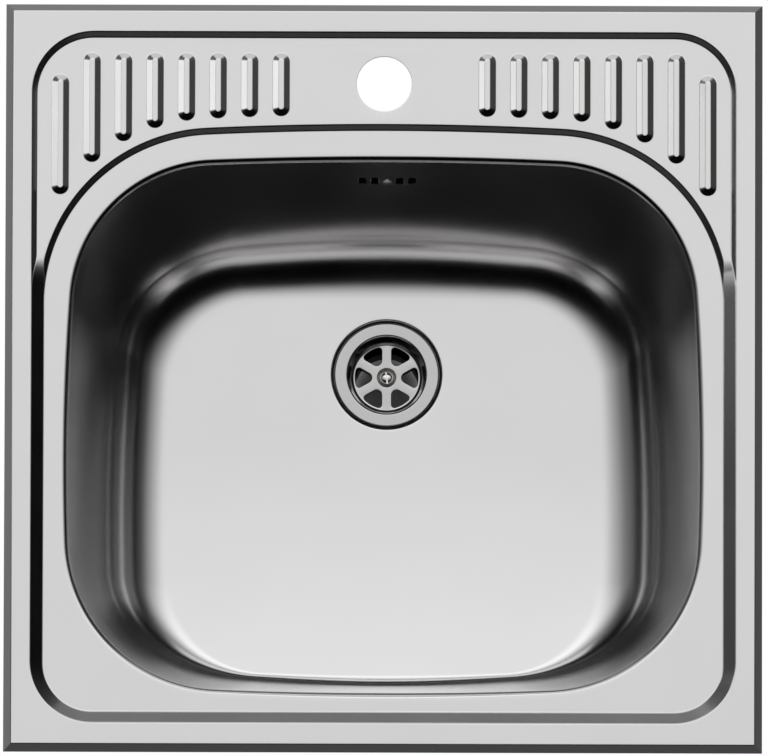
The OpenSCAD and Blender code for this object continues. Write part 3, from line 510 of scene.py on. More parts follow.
front_c = Vector((step1_corner.x, -step1_corner.y))
front_y = front_c.y - STEP1_R
joined_rows = [step_row(Vector((0, front_y)), down, Vector((0, front_y + step2_in)), down, 0)]
for k in range(CORNER_STEPS + 1):
    out = ray(-90 + 90 * k / CORNER_STEPS)
    joined_rows.append(step_row(front_c + out * STEP1_R, out, front_c + out * (STEP1_R - step2_in), out, 0))
open_turn = math.degrees(math.acos(1 - PANEL_OPEN / LEDGE_CORNER))
for k in range(OPENING_STEPS + 1):
    a = open_turn * k / OPENING_STEPS
    edge = ledge_k + LEDGE_CORNER * ray(a)
    share = min(1, LEDGE_CORNER * (1 - math.cos(math.radians(a))) / PANEL_OPEN)
    share = share * share * (3 - 2 * share)
    joined_rows.append(step_row(Vector((STEP1_X, edge.y)), right_way, edge, ray(a), share))
for rows in (joined_rows, [mirrored(row) for row in joined_rows]):
    deck.grid(rows, closed=False)
print("joined step:", len(joined_rows), "stations on each side")

# %% [markdown]
# ## The two steps behind the bowl
# Past the opening each step is on its own, so each is a plain sweep of the same
# section along its line: round the back corners for the outer one, and across
# the ledge for the inner one. The rim's flat and the land are then filled in.

# %% The back steps, the rim's flat and the land
SEAM = 3.0
LEDGE_STEPS = 32
opened_y = joined_rows[-1][0][1]
outer_half = [(Vector((STEP1_X, opened_y)), right_way)]
for k in range(CORNER_STEPS + 1):
    out = ray(90 * k / CORNER_STEPS)
    outer_half.append((step1_corner + out * STEP1_R, out))

inner_half = []
for k in range(LEDGE_STEPS + 1):
    out = ray(open_turn + (ledge_turn - open_turn) * k / LEDGE_STEPS)
    inner_half.append((ledge_k + out * LEDGE_CORNER, out))
for k in range(1, CORNER_STEPS + 1):
    out = ray(ledge_turn + (90 - ledge_turn) * k / CORNER_STEPS)
    inner_half.append((ledge_centre + out * LEDGE_R, out))

step1, step2 = [half + mirrored_stations(half) for half in (outer_half, inner_half)]
for line, z in ((step1, RIM_Z), (step2, PANEL_Z)):
    deck.grid([level(moved(line, -s.x), z + s.y) for s in one_step], closed=False)

inner = HALF - fold_start
corners = [(inner, -inner), (inner, inner), (-inner, inner), (-inner, -inner)]
tops = [row[0] for row in joined_rows]
feet = [row[-1] for row in joined_rows]
rim_hole = tops + level(moved(step1, 0), RIM_Z)[1:-1] + mirrored(tops[:0:-1])
land_rim = feet + level(moved(step2, -STEP_RUN), LAND_Z)[1:-1] + mirrored(feet[:0:-1])
deck.fill([level(corners, RIM_Z), rim_hole])
deck.fill([land_rim, level(moved(mouth, SEAM), LAND_Z)])
print("deck so far:", len(deck.mesh.faces), "faces")

# %% [markdown]
# ## One rib
# Sixteen ribs stiffen the ledge beside the tap. They are one rib at sixteen
# places and seven lengths. A rib is a straight piece between two round ends,
# and both come from the same half section: two equal bends with a flat between,
# stretched along the rib for the middle and turned about its top for an end.

# %% A rib's straight piece and its round end
RIB_W, RIB_TOP, RIB_H, RIB_MARGIN = 11.7, 2.5, 2.0, 0.6
RIB_METRE = 1000
flank = [Vector((s.x + RIB_TOP / 2, s.y + RIB_H)) for s in slope((RIB_W - RIB_TOP) / 2, RIB_H, STEP_BEND)]
half_rib = [Vector((0, RIB_H))] + flank + [Vector((RIB_W / 2 + RIB_MARGIN, 0))]
across = [(-s.x, s.y) for s in reversed(half_rib[1:])] + [(s.x, s.y) for s in half_rib]
fan = [180 + 180 * k / 24 for k in range(25)]


def as_object(name, sheet):
    """A piece for node trees to copy; it isn't in the scene itself."""
    bmesh.ops.recalc_face_normals(sheet.mesh, faces=sheet.mesh.faces)
    mesh = bpy.data.meshes.new(name)
    sheet.mesh.to_mesh(mesh)
    sheet.mesh.free()
    return bpy.data.objects.new(name, mesh)


straight_part, round_part = Sheet(), Sheet()
straight_part.grid([[(x, y, z) for x, z in across] for y in (0, RIB_METRE)], closed=False)
turned = [[(s.x * ray(a).x, s.x * ray(a).y, s.y) for a in fan] for s in half_rib[1:]]
round_part.grid(turned, closed=False)
for a, b in zip(turned[0], turned[0][1:]):
    round_part.face(((0, 0, RIB_H), a, b))
rib_straight, rib_end = as_object("rib_straight", straight_part), as_object("rib_end", round_part)
print("rib section:", len(across), "points")

# %% [markdown]
# ## Building and running a tree
# A Geometry Nodes tree is built once, with named inputs, and can be run on any
# mesh. It ends in Realize Instances and Set Material, so that what comes out is
# a plain mesh with its finish. The modifier only serves to run the tree: the
# inputs are set by their identifiers, the result is kept, and the host goes.


# %% Start, end and run a tree
def node_tree(name, sizes):
    tree = bpy.data.node_groups.new(name, "GeometryNodeTree")
    tree.interface.new_socket("Geometry", in_out="INPUT", socket_type="NodeSocketGeometry")
    for label, kind in sizes.items():
        tree.interface.new_socket(label, in_out="INPUT", socket_type="NodeSocket" + kind)
    tree.interface.new_socket("Geometry", in_out="OUTPUT", socket_type="NodeSocketGeometry")
    return tree, add(tree, "NodeGroupInput").outputs


def finish_tree(tree, shape, material):
    real = add(tree, "GeometryNodeRealizeInstances", {"Geometry": shape})
    painted = add(tree, "GeometryNodeSetMaterial", {"Geometry": real, "Material": material})
    add(tree, "NodeGroupOutput", {"Geometry": painted})
    print("tree:", tree.name, "with", len(tree.nodes), "nodes")


def grow(name, start, tree, **values):
    """Runs a tree on a starting mesh, and keeps the plain mesh."""
    host = new_object(name, start)
    run = host.modifiers.new(tree.name, "NODES")
    run.node_group = tree
    sockets = {s.name: s.identifier for s in tree.interface.items_tree if s.in_out == "INPUT"}
    for label, value in values.items():
        run[sockets[label]] = value
    seen = host.evaluated_get(bpy.context.evaluated_depsgraph_get())
    mesh = bpy.data.meshes.new_from_object(seen)
    bpy.data.objects.remove(host)
    return new_object(name, mesh)


print("trees so far:", len(bpy.data.node_groups))

# %% [markdown]
# ## Setting out the ribs
# Sixteen ribs could be sixteen edited copies. A tree does it from a list: each
# rib is a point that carries its length. The straight piece, drawn 1 m long, is
# scaled to that length on each point, one round end goes on the same point, and
# another, turned half round, goes on the point moved forward by the length.

# %% The tree for the ribs
rib_tree, inp = node_tree("set out ribs", {"Straight": "Object", "End": "Object", "Material": "Material"})
length = add(rib_tree, "GeometryNodeInputNamedAttribute", {"Name": "rib length"}, data_type="FLOAT")
forward = add(rib_tree, "ShaderNodeCombineXYZ", {"Y": length})
stretch = add(rib_tree, "ShaderNodeCombineXYZ", {"X": 1.0, "Y": length, "Z": 1.0})
straight = add(rib_tree, "GeometryNodeObjectInfo", {"Object": inp["Straight"]}).outputs["Geometry"]
end = add(rib_tree, "GeometryNodeObjectInfo", {"Object": inp["End"]}).outputs["Geometry"]
back_points = add(rib_tree, "GeometryNodeSetPosition", {"Geometry": inp["Geometry"], "Offset": forward})
middles, fronts, backs = [
    add(rib_tree, "GeometryNodeInstanceOnPoints", {"Points": points, "Instance": piece, **more})
    for points, piece, more in (
        (inp["Geometry"], straight, {"Scale": stretch}),
        (inp["Geometry"], end, {}),
        (back_points, end, {"Rotation": (0, 0, math.pi)}),
    )
]
together = add(rib_tree, "GeometryNodeJoinGeometry", {0: [middles, fronts, backs]})
finish_tree(rib_tree, together, inp["Material"])

# %% [markdown]
# ## Sixteen places
# The ribs stand 20 mm apart, and each ends where the inner step lets it, which
# was read off the picture. The last one on each side is shorter at the back too,
# to clear the corner of the outer step. They take the sheet's own finish.

# %% Set out sixteen ribs
RIB_PITCH, RIB_FIRST, RIB_BACK, LAST_RIB_BACK = 20.0, 65.4, 203.3, 189.3
RIB_FRONTS = (173.7, 173.1, 172.2, 170.7, 165.9, 157.4, 143.9, 123.1)
rib_places = []
for k, front in enumerate(RIB_FRONTS):
    back = LAST_RIB_BACK if k == len(RIB_FRONTS) - 1 else RIB_BACK
    rib_places += [(side * (RIB_FIRST + RIB_PITCH * k), front, back) for side in (-1, 1)]
points = bpy.data.meshes.new("rib_points")
points.from_pydata([Vector((x, front, PANEL_Z)) * MM for x, front, _ in rib_places], [], [])
lengths = points.attributes.new("rib length", "FLOAT", "POINT")
lengths.data.foreach_set("value", [(back - front) * MM for _, front, back in rib_places])
ribs = grow("ribs", points, rib_tree, Straight=rib_straight, End=rib_end, Material=satin_steel)
print("ribs:", len(rib_places), "with", len(ribs.data.polygons), "faces")

# %% [markdown]
# ## The panel between the steps
# The panel has a hole for each rib and one for the tap. A punched hole has a
# slightly rolled edge, which catches the light as a thin line. The ribs then
# fill their holes: both share the same rim points, so merging them by distance
# gives one unbroken sheet. The deck stands for the CAD node `sink_top`.

# %% Close the panel and join the ribs
TAP_R, TAP_Y, TAP_ROLL = 17.5, 189.0, 0.5
ONE_POINT = 0.02 * MM


def rib_hole(x, front, back, out):
    loop = [Vector((x, front)) + ray(a) * out for a in fan]
    return loop + [Vector((x, back)) + ray(a - 180) * out for a in fan]


def tap_edge(grow_by):
    return ring((0, TAP_Y), TAP_R + grow_by, 96)


def punched(sheet, loop_at, z, roll=TAP_ROLL, drop=0.25):
    """Rows of a rolled edge; loop_at(d) is the hole's outline grown by d."""
    rows = ((roll, 0), (roll * 0.3, drop * 0.25), (0, drop))
    sheet.grid([level(loop_at(out), z - low) for out, low in rows])


holes = [rib_hole(x, front, back, RIB_W / 2 + RIB_MARGIN) for x, front, back in rib_places]
panel = [moved(step1, -STEP_RUN) + moved(step2, 0)[::-1], tap_edge(TAP_ROLL)] + holes
deck.fill([level(loop, PANEL_Z) for loop in panel])
punched(deck, tap_edge, PANEL_Z)

deck.mesh.from_mesh(ribs.data)
bmesh.ops.remove_doubles(deck.mesh, verts=deck.mesh.verts, dist=ONE_POINT)
bpy.data.objects.remove(ribs)
sink_deck = solid_sheet("sink_deck", deck, SHEET, satin_steel)
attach(sink_deck, "sink")
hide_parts("sink_top")

# %% [markdown]
# ## The bowl's wall
# The bowl is deep drawn: the sheet rolls over a 4 mm lip, runs down walls that
# lean 9 degrees, a little more at the front, and turns into the floor round a
# radius that is large at the sides and small at the front. A loft suits it: each
# station on the mouth has a partner on the floor, and the lean of the wall's foot
# is solved for each, so that the section ends level with the floor. The bend is
# no true arc: it starts flatter at the floor, and tightens on its way up.


# %% One section of the wall
LIP_R, LIP_STEPS = 4.0, 10
FALL = LAND_Z - FLOOR_Z
WALL_ROWS = (0, 0.1, 0.19, 0.39, 0.6, 0.8, 1)


def bend_up(radius, turn, ease, count=16):
    """Points of a bend from the floor up, flatter at the floor if ease is over 1."""
    at = Vector((0, 0))
    points = [at]
    for k in range(count):
        a = turn * ((k + 0.5) / count) ** ease
        at = at + Vector((math.cos(a), math.sin(a))) * radius * turn / count
        points.append(at)
    return points


def wall_section(run, floor_r, draft, ease):
    """Distance in and height for each row, for a wall that ends at this run."""
    top = math.radians(draft)
    low, high = 0.0, math.radians(45)
    for _ in range(40):
        foot = (low + high) / 2
        bend = bend_up(floor_r, math.pi / 2 - foot, ease)
        fall = FALL - LIP_R * (1 - math.sin(top)) - bend[-1].y
        reach = LIP_R * math.cos(top) + fall * math.tan((top + foot) / 2) + bend[-1].x
        low, high = (foot, high) if reach < run else (low, foot)
    rows = []
    for k in range(1, LIP_STEPS + 1):
        a = (math.pi / 2 - top) * k / LIP_STEPS
        rows.append((LIP_R * math.sin(a), -LIP_R * (1 - math.cos(a))))
    x, z = rows[-1]
    for b in WALL_ROWS[1:]:
        rows.append((x + fall * b * math.tan(top + (foot - top) * b / 2), z - fall * b))
    return rows + [(run - p.x, p.y - FALL) for p in reversed(bend[:-1])]


print("the bowl falls", round(FALL, 1), "mm below its land")

# %% [markdown]
# ## The sides of the bowl differ
# The wall's lean, the bend and its ease are given for the back, the sides and
# the front, and blend round the corners by where a station faces. The floor's
# front half rises 2 mm, as a real floor falls to its waste: without that the
# floor would mirror the same light all over, and look flat.

# %% Loft the wall round the mouth
DRAFT, FRONT_DRAFT = 9.0, 11.5
BEND_BACK, BEND_SIDE, BEND_FRONT = 35.0, 42.0, 7.0
EASE_BACK, EASE_SIDE, EASE_FRONT = 1.22, 1.0, 1.4
PITCH_FROM, PITCH_RISE, PITCH_REACH, PITCH_FADES = -20.0, 2.2, 130.0, 70.0


def by_side(out, back, side, front):
    """A value that goes smoothly from the sides of the bowl to its back or front."""
    return side + ((back if out.y > 0 else front) - side) * out.y * out.y


def pitched(p):
    """Lifts the front of the floor and its bend, so that water runs to the waste."""
    forward = max(0, PITCH_FROM - p[1]) / PITCH_REACH
    low = min(1, max(0, (FLOOR_Z + PITCH_FADES - p[2]) / PITCH_FADES))
    return (p[0], p[1], p[2] + PITCH_RISE * forward ** 2 * low * low * (3 - 2 * low))


floor_line = stations(floor_arcs, ARC_STEPS)
columns = []
for (m, out), (f, _) in zip(mouth, floor_line):
    inwards = (f - m).normalized()
    section = wall_section(
        (f - m).length,
        by_side(out, BEND_BACK, BEND_SIDE, BEND_FRONT),
        by_side(out, DRAFT, DRAFT, FRONT_DRAFT),
        by_side(out, EASE_BACK, EASE_SIDE, EASE_FRONT),
    )
    columns.append([pitched((m.x + inwards.x * x, m.y + inwards.y * x, LAND_Z + z)) for x, z in section])
wall_rows = [list(row) for row in zip(*columns)]
print("bowl rows:", len(wall_rows), "of", len(mouth), "points")

# %% [markdown]
# ## The overflow slots
# Four slots are punched in the back wall, two on each side of a screw, and they
# fan out a little. A Boolean would cut them, but it leaves long thin faces and
# rough shading on a curved wall. Instead one stretch of the wall is left out of
# the loft and triangulated with the slots as holes, on points of the same wall.

# %% Cut the overflow into the back wall
OUTLET_X, OVERFLOW_Z, BOLT_R = 2.0, RIM_Z - 45, 2.7
SLOT_W, SLOT_H, SLOT_PITCH, SLOT_FAN = 5.0, 14.0, 7.85, 1.7
SLOT_ROLL = ((0.45, 0), (0.14, 0.06), (0, 0.25))
gap_row = LIP_STEPS + 1
PATCH = 7
start, stop = len(mouth) // 2 - PATCH, len(mouth) // 2 + PATCH
lean = math.radians(DRAFT)
through = Vector((0, math.cos(lean), -math.sin(lean)))


def on_back_wall(x, z):
    """The wall's point at x and z, between the two rows beside the overflow."""
    upper, lower = wall_rows[gap_row], wall_rows[gap_row + 1]
    for k in range(start, stop):
        a, b, c, d = (Vector(p) for p in (upper[k], upper[k + 1], lower[k], lower[k + 1]))
        down = (a.z - z) / (a.z - c.z)
        right, left = a.lerp(c, down), b.lerp(d, down)
        if left.x <= x <= right.x:
            return right.lerp(left, (right.x - x) / (right.x - left.x))
    raise ValueError("off the patch")


def slot_loop(side, k, grow_by, push=0.0):
    half, straight = SLOT_W / 2 + grow_by, (SLOT_H - SLOT_W) / 2
    tilt = math.radians(side * k * SLOT_FAN)
    loop = []
    for end in (1, -1):
        for a in range(0, 181, 15):
            p = ray(a if end > 0 else a + 180) * half + Vector((0, end * straight))
            u = p.x * math.cos(tilt) + p.y * math.sin(tilt) + side * k * SLOT_PITCH
            v = -p.x * math.sin(tilt) + p.y * math.cos(tilt)
            at = on_back_wall(OUTLET_X + u, OVERFLOW_Z + v * math.cos(lean))
            loop.append(tuple(at + through * push))
    return loop


bowl = Sheet()
border = wall_rows[gap_row][start : stop + 1] + wall_rows[gap_row + 1][start : stop + 1][::-1]
slots = [(side, k) for side in (-1, 1) for k in (1, 2)]
bolt_ring = [ray(a) * BOLT_R for a in range(0, 360, 15)]
bolt_hole = [tuple(on_back_wall(OUTLET_X + p.x, OVERFLOW_Z + p.y)) for p in bolt_ring]
bowl.fill([border, bolt_hole] + [slot_loop(side, k, *SLOT_ROLL[0]) for side, k in slots], "xz")
for side, k in slots:
    bowl.grid([slot_loop(side, k, out, push) for out, push in SLOT_ROLL])
print("overflow slots:", len(slots))

# %% [markdown]
# ## The bowl's floor and the waste recess
# The floor has a shallow round recess that the strainer's flange drops into.
# The recess is a surface of revolution: rows of rings round the waste's middle.
# Between it and the bend, rows of points shrink from the floor's outline to a
# ring, so that the floor can rise gently. The bowl stands for `sink_bowl`.

# %% Close the wall, the floor and the recess
WASTE = Vector((OUTLET_X, 28.0))
WASTE_HOLE_R, RECESS_IN, RECESS_DEEP, RECESS_TURN = 28.6, 33.5, 2.2, 80
FLOOR_ROWS = (0, 0.08, 0.2, 0.4, 0.6, 0.8, 1)
for k in range(len(mouth)):
    j = (k + 1) % len(mouth)
    for row, (low, high) in enumerate(zip(wall_rows, wall_rows[1:])):
        if not (row == gap_row and start <= k < stop):
            bowl.face((low[k], low[j], high[j], high[k]))
bowl.grid([level(moved(mouth, SEAM), LAND_Z), level(moved(mouth, 0), LAND_Z), wall_rows[0]])

steep = math.radians(RECESS_TURN)
recess_r = RECESS_DEEP / (2 * (1 - math.cos(steep)))
recess_out = RECESS_IN + 2 * recess_r * math.sin(steep)
recess_z = FLOOR_Z - RECESS_DEEP
recess = bent([(recess_r, RECESS_TURN), (recess_r, -RECESS_TURN)], (RECESS_IN, recess_z), chord=12)
revolve(bowl, WASTE, [(WASTE_HOLE_R, recess_z)] + [tuple(s) for s in recess])
rounds = [WASTE + (f - WASTE).normalized() * (recess_out + 1) for f, _ in floor_line]
for_each = list(zip(floor_line, rounds))
bowl.grid([[pitched((*f.lerp(r, share), FLOOR_Z)) for (f, _), r in for_each] for share in FLOOR_ROWS])
bowl.fill([level(rounds, FLOOR_Z), level(ring(WASTE, recess_out, 96), FLOOR_Z)])
sink_bowl = solid_sheet("sink_bowl_drawn", bowl, SHEET, satin_steel)
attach(sink_bowl, "sink")
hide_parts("sink_bowl")

# %% [markdown]
# ## One tree that sets out copies
# The openings of the strainer and the rivets of the clips are one piece at many
# places. A second tree puts a copy of a piece on each point, turned by an
# attribute of the point. The scene needs only the list of places.


# %% Set out copies with Geometry Nodes
copy_tree, inp = node_tree("set out copies", {"Piece": "Object", "Material": "Material"})
turn = add(copy_tree, "GeometryNodeInputNamedAttribute", {"Name": "turn"}, data_type="FLOAT")
turned = add(copy_tree, "ShaderNodeCombineXYZ", {"Z": turn})
piece = add(copy_tree, "GeometryNodeObjectInfo", {"Object": inp["Piece"]}).outputs["Geometry"]
copies = add(
    copy_tree, "GeometryNodeInstanceOnPoints",
    {"Points": inp["Geometry"], "Instance": piece, "Rotation": turned},
)
finish_tree(copy_tree, copies, inp["Material"])


def set_out(name, piece, places, material):
    """One mesh of copies. A place is x, y, z in mm and a turn in degrees."""
    points = bpy.data.meshes.new(name + "_places")
    points.from_pydata([Vector(p[:3]) * MM for p in places], [], [])
    turns = points.attributes.new("turn", "FLOAT", "POINT")
    turns.data.foreach_set("value", [math.radians(p[3]) for p in places])
    return grow(name, points, copy_tree, Piece=piece, Material=material)

# %% [markdown]
# ## The strainer
# The waste is closed by a dish of 1 mm stainless sheet: a flange that lies in
# the recess, a steep seat for the plug, and a flat grid with a dimple for its
# screw. All of it is turned round the waste's middle. The six openings could be
# cut by a Boolean; one sixth of the grid, drawn with its opening and set out
# six times, has cleaner edges. The dish stands for the CAD node
# `strainer`.


# %% One sixth of the strainer's grid
FLANGE_R, FLANGE_Z, FLANGE_BEND, FLANGE_FLAT = 33.1, -0.7, 0.5, 6.4
SEAT_BEND, SEAT_DEEP, SEAT_TURN = 1.5, 9.914, 75
HUB_R, HUB_BEND, HUB_SLOPE, HUB_TURN, HUB_FLAT = 6.52, 1.2, 1.386, 60, 0.65
OPENING_R, CORNER_R, TIP_R, TIP_AT, CORNER_TURN = 20.24, 2.2, 3.5, 12.8, 13.58


def opening(grow_by):
    """Outline of an opening, grown: a wide arc, two round corners and a tip."""
    corner_at = ray(CORNER_TURN) * (OPENING_R - CORNER_R)
    half = [ray(a) * (OPENING_R + grow_by) for a in (0, 4.5, 9)]
    for a in (CORNER_TURN, 29, 44, 59, 74, 90, 105, 120):
        half.append(corner_at + ray(a) * (CORNER_R + grow_by))
    half += [Vector((TIP_AT, 0)) + ray(a) * (TIP_R + grow_by) for a in (120, 135, 150, 165)]
    tip = Vector((TIP_AT - TIP_R - grow_by, 0))
    return half + [tip] + [Vector((p.x, -p.y)) for p in reversed(half[1:])]


seat_moves = [(FLANGE_BEND, 90), (FLANGE_FLAT,), (SEAT_BEND, SEAT_TURN), (SEAT_DEEP,)]
seat_moves.append((SEAT_BEND, -SEAT_TURN))
seat = bent(seat_moves, (FLANGE_R, FLANGE_Z), heading=90, chord=12)
hub_moves = [(HUB_BEND, HUB_TURN), (HUB_SLOPE,), (HUB_BEND, -HUB_TURN), (HUB_FLAT,)]
hub = bent(hub_moves, (HUB_R, seat[-1].y), heading=180, chord=12)
grid_r, grid_z = seat[-1]
sixth = [-30 + 3.75 * k for k in range(17)]
sector = Sheet()
border = [ray(a) * grid_r for a in sixth] + [ray(a) * hub[0].x for a in reversed(sixth)]
sector.fill([level(border, grid_z), level(opening(0.35), grid_z)])
punched(sector, opening, grid_z, roll=0.35, drop=0.2)
print("one sixth:", len(sector.mesh.faces), "faces")

# %% [markdown]
# ## The strainer's dish
# The six parts of the grid, the seat with its flange and the dimple join into
# one surface, and Solidify makes that 1 mm thick. The dish is buffed brighter
# than the sink, so its steel has a lower roughness, with clouds of 12 mm.

# %% Press the strainer
strainer_steel = metal_material(
    "bright stainless steel of the strainer", "#bfbebe", 0.14,
    cloud_mm=12, cloud=0.03, grain_mm=0.5, grain=0.001,
)
sixths = [(0, 0, 0, 60 * k) for k in range(6)]
grid = set_out("grid", as_object("grid_sector", sector), sixths, satin_steel)
dish = Sheet()
for section in (seat, hub):
    revolve(dish, (0, 0), section)
dish.mesh.from_mesh(grid.data)
bpy.data.objects.remove(grid)
bmesh.ops.remove_doubles(dish.mesh, verts=dish.mesh.verts, dist=ONE_POINT)
waste_place = Vector((WASTE.x, WASTE.y, FLOOR_Z))
bmesh.ops.translate(dish.mesh, verts=dish.mesh.verts, vec=waste_place * MM)
strainer = solid_sheet("strainer_dish", dish, 1.0, strainer_steel)
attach(strainer, "sink")
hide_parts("strainer")

# %% [markdown]
# ## Screw threads
# Three kinds of slotted screw hold the strainer, the overflow and the clips. A
# screw is a domed head, in which a box cuts the slot, and a thread. The thread
# repeats and follows a line, so Geometry Nodes make it: a diamond is swept
# along a spiral round a core, with the crest radius and the pitch as inputs.

# %% A thread that follows a spiral
sizes = {"Head": "Object", "Crest": "Float", "Pitch": "Float", "Length": "Float", "Material": "Material"}
thread_tree, inp = node_tree("threaded shank", sizes)
half_pitch = add(thread_tree, "ShaderNodeMath", {0: inp["Pitch"], 1: 0.5}, operation="MULTIPLY")
core_r = add(thread_tree, "ShaderNodeMath", {0: inp["Crest"], 1: half_pitch}, operation="SUBTRACT")
threaded = add(thread_tree, "ShaderNodeMath", {0: inp["Length"], 1: inp["Pitch"]}, operation="SUBTRACT")
turns = add(thread_tree, "ShaderNodeMath", {0: threaded, 1: inp["Pitch"]}, operation="DIVIDE")
spiral = add(
    thread_tree, "GeometryNodeCurveSpiral",
    {"Resolution": 20, "Rotations": turns, "Start Radius": core_r, "End Radius": core_r, "Height": threaded},
)
upright = add(thread_tree, "GeometryNodeSetCurveNormal", {"Curve": spiral}, mode="Z_UP")
diamond = add(thread_tree, "GeometryNodeCurvePrimitiveCircle", {"Resolution": 4, "Radius": half_pitch})
coil = add(
    thread_tree, "GeometryNodeCurveToMesh",
    {"Curve": upright, "Profile Curve": diamond, "Fill Caps": True},
)
lifted = add(thread_tree, "ShaderNodeCombineXYZ", {"Z": half_pitch})
coil = add(thread_tree, "GeometryNodeTransform", {"Geometry": coil, "Translation": lifted})
core = add(
    thread_tree, "GeometryNodeMeshCylinder",
    {"Vertices": 32, "Radius": core_r, "Depth": inp["Length"]},
)
middle_z = add(thread_tree, "ShaderNodeMath", {0: inp["Length"], 1: 0.5}, operation="MULTIPLY")
raised = add(thread_tree, "ShaderNodeCombineXYZ", {"Z": middle_z})
core = add(thread_tree, "GeometryNodeTransform", {"Geometry": core, "Translation": raised})
head = add(thread_tree, "GeometryNodeObjectInfo", {"Object": inp["Head"]}).outputs["Geometry"]
together = add(thread_tree, "GeometryNodeJoinGeometry", {0: [coil, core, head]})
finish_tree(thread_tree, together, inp["Material"])

# %% [markdown]
# ## Screw heads
# A head is a dome with a narrow straight edge. It is turned from its section,
# and its slot is cut by a box with a Boolean: on a small closed head that is
# quick, and its faces are too small for poor shading to show. A screw is made
# upright at the origin, and its mesh is then turned to its axis and place.


# %% Head, slot and place of a screw
def domed(radius, height, low=0.45):
    """Section of a domed head below z = 0, from its top on the axis."""
    rows = []
    for k in range(7):
        up = ray(90 - 15 * k)
        rows.append((radius * up.x, -height * (low + (1 - low) * up.y)))
    return rows + [(radius, -0.15), (radius - 0.15, 0), (0, 0)]


def screw(name, head_r, head_h, slot, crest, pitch, length, material):
    """A screw with its shank up from z = 0 and its head below, on the Z axis."""
    sheet = Sheet()
    revolve(sheet, (0, 0), domed(head_r, head_h), 48)
    head = as_object(name + "_head", sheet)
    bpy.context.scene.collection.objects.link(head)
    box = bmesh.new()
    size = Vector((3 * head_r, slot[0], 2 * slot[1])) * MM
    at_top = Matrix.Translation((0, 0, -head_h * MM))
    bmesh.ops.create_cube(box, size=1, matrix=at_top @ Matrix.Diagonal((*size, 1)))
    cutter = new_object(name + "_cutter", bpy.data.meshes.new(name + "_cutter"))
    box.to_mesh(cutter.data)
    box.free()
    cut = head.modifiers.new("slot", "BOOLEAN")
    cut.object, cut.operation, cut.solver = cutter, "DIFFERENCE", "EXACT"
    settle(head)
    bpy.data.objects.remove(cutter)
    thing = grow(
        name, bpy.data.meshes.new(name), thread_tree,
        Head=head, Crest=crest * MM, Pitch=pitch * MM, Length=length * MM, Material=material,
    )
    bpy.data.objects.remove(head)
    return thing


def put_screw(thing, at, axis, turn):
    """Moves the mesh, so that the shank points along axis from a place in mm."""
    stand = Vector(axis).to_track_quat("Z", "Y").to_matrix().to_4x4()
    spin = Matrix.Rotation(math.radians(turn), 4, "Z")
    thing.data.transform(Matrix.Translation(Vector(at) * MM) @ stand @ spin)
    return smooth(thing, 30)


print("a head's section has", len(domed(1, 1)), "points")

# %% [markdown]
# ## The strainer's and the overflow's screws
# The screw in the strainer's grid is nickel plated and polished, so it shows as
# a bright spot with a dark slot. It could be zinc plated like the others, but
# only a mirror finish gives such a glint. The overflow's screw has bright zinc,
# a thin bluish plating whose gloss changes over some millimetres. It points
# through the wall, square to it. Both are turned as a fitter left them.

# %% Two screws on the sink
zinc_plate, bright_plate = [
    metal_material(*finish)
    for finish in (
        # Name, colour, roughness, width and depth of the clouds, width and depth of the grain.
        ("bright zinc plate", "#d0d3d6", 0.22, 6, 0.05, 0.4, 0.002),
        ("polished nickel plate", "#dcdad6", 0.09, 4, 0.03, 0.4, 0.001),
    )
]
GRID_SCREW_DROP, GRID_SCREW_TURN = 14.4, 83
WALL_SCREW_Y, WALL_SCREW_Z, WALL_SCREW_TURN = 133.866, -39.4, 20
grid_screw = screw(
    "grid_screw", head_r=3.7, head_h=2.2, slot=(1.0, 1.0),
    crest=3.0, pitch=1.0, length=13, material=bright_plate,
)
put_screw(grid_screw, waste_place - Vector((0, 0, GRID_SCREW_DROP)), (0, 0, -1), GRID_SCREW_TURN)
wall_screw = screw(
    "wall_screw", head_r=3.6, head_h=1.8, slot=(0.9, 0.8),
    crest=2.5, pitch=0.8, length=12, material=zinc_plate,
)
put_screw(wall_screw, (OUTLET_X, WALL_SCREW_Y, WALL_SCREW_Z), through, WALL_SCREW_TURN)
for thing, node in ((grid_screw, "strainer_screw"), (wall_screw, "overflow_screw")):
    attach(thing, "sink")
    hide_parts(node)
    print(node, "has", len(thing.data.polygons), "faces")

# %% [markdown]
# ## Clip screws
# Eight clips pull the sink down on the worktop. Each has an M5 screw, whose
# pitch of 0.8 mm lifts its jaw 16 mm in 20 turns. The screws turn with their own
# bodies, so each is its own piece. All have a copy of one mesh, put where the
# CAD screw's box is, so that the two can't come apart.

# %% Place the clip screws
HEAD_H = 3.0
clip_screw = screw(
    "clip_screw", head_r=4.5, head_h=HEAD_H, slot=(1.2, 1.4),
    crest=2.5, pitch=0.8, length=25, material=zinc_plate,
)
smooth(clip_screw, 30)
for k in range(1, 9):
    node = f"clip_screw_{k}"
    low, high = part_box(node)
    mesh = clip_screw.data.copy()
    mesh.transform(Matrix.Translation(((low.x + high.x) / 2, (low.y + high.y) / 2, low.z + HEAD_H * MM)))
    thing = new_object(f"threaded_screw_{k}", mesh)
    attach(thing, f"screw_{k}")
    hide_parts(node)
bpy.data.objects.remove(clip_screw)
print("screws: 8 of", len(mesh.polygons), "faces")

# %% [markdown]
# ## Clip rivets
# Each clip swings on a rivet with a domed head at both ends. The rivets are one
# CAD node, so they are one piece here too, set out by the tree for copies.

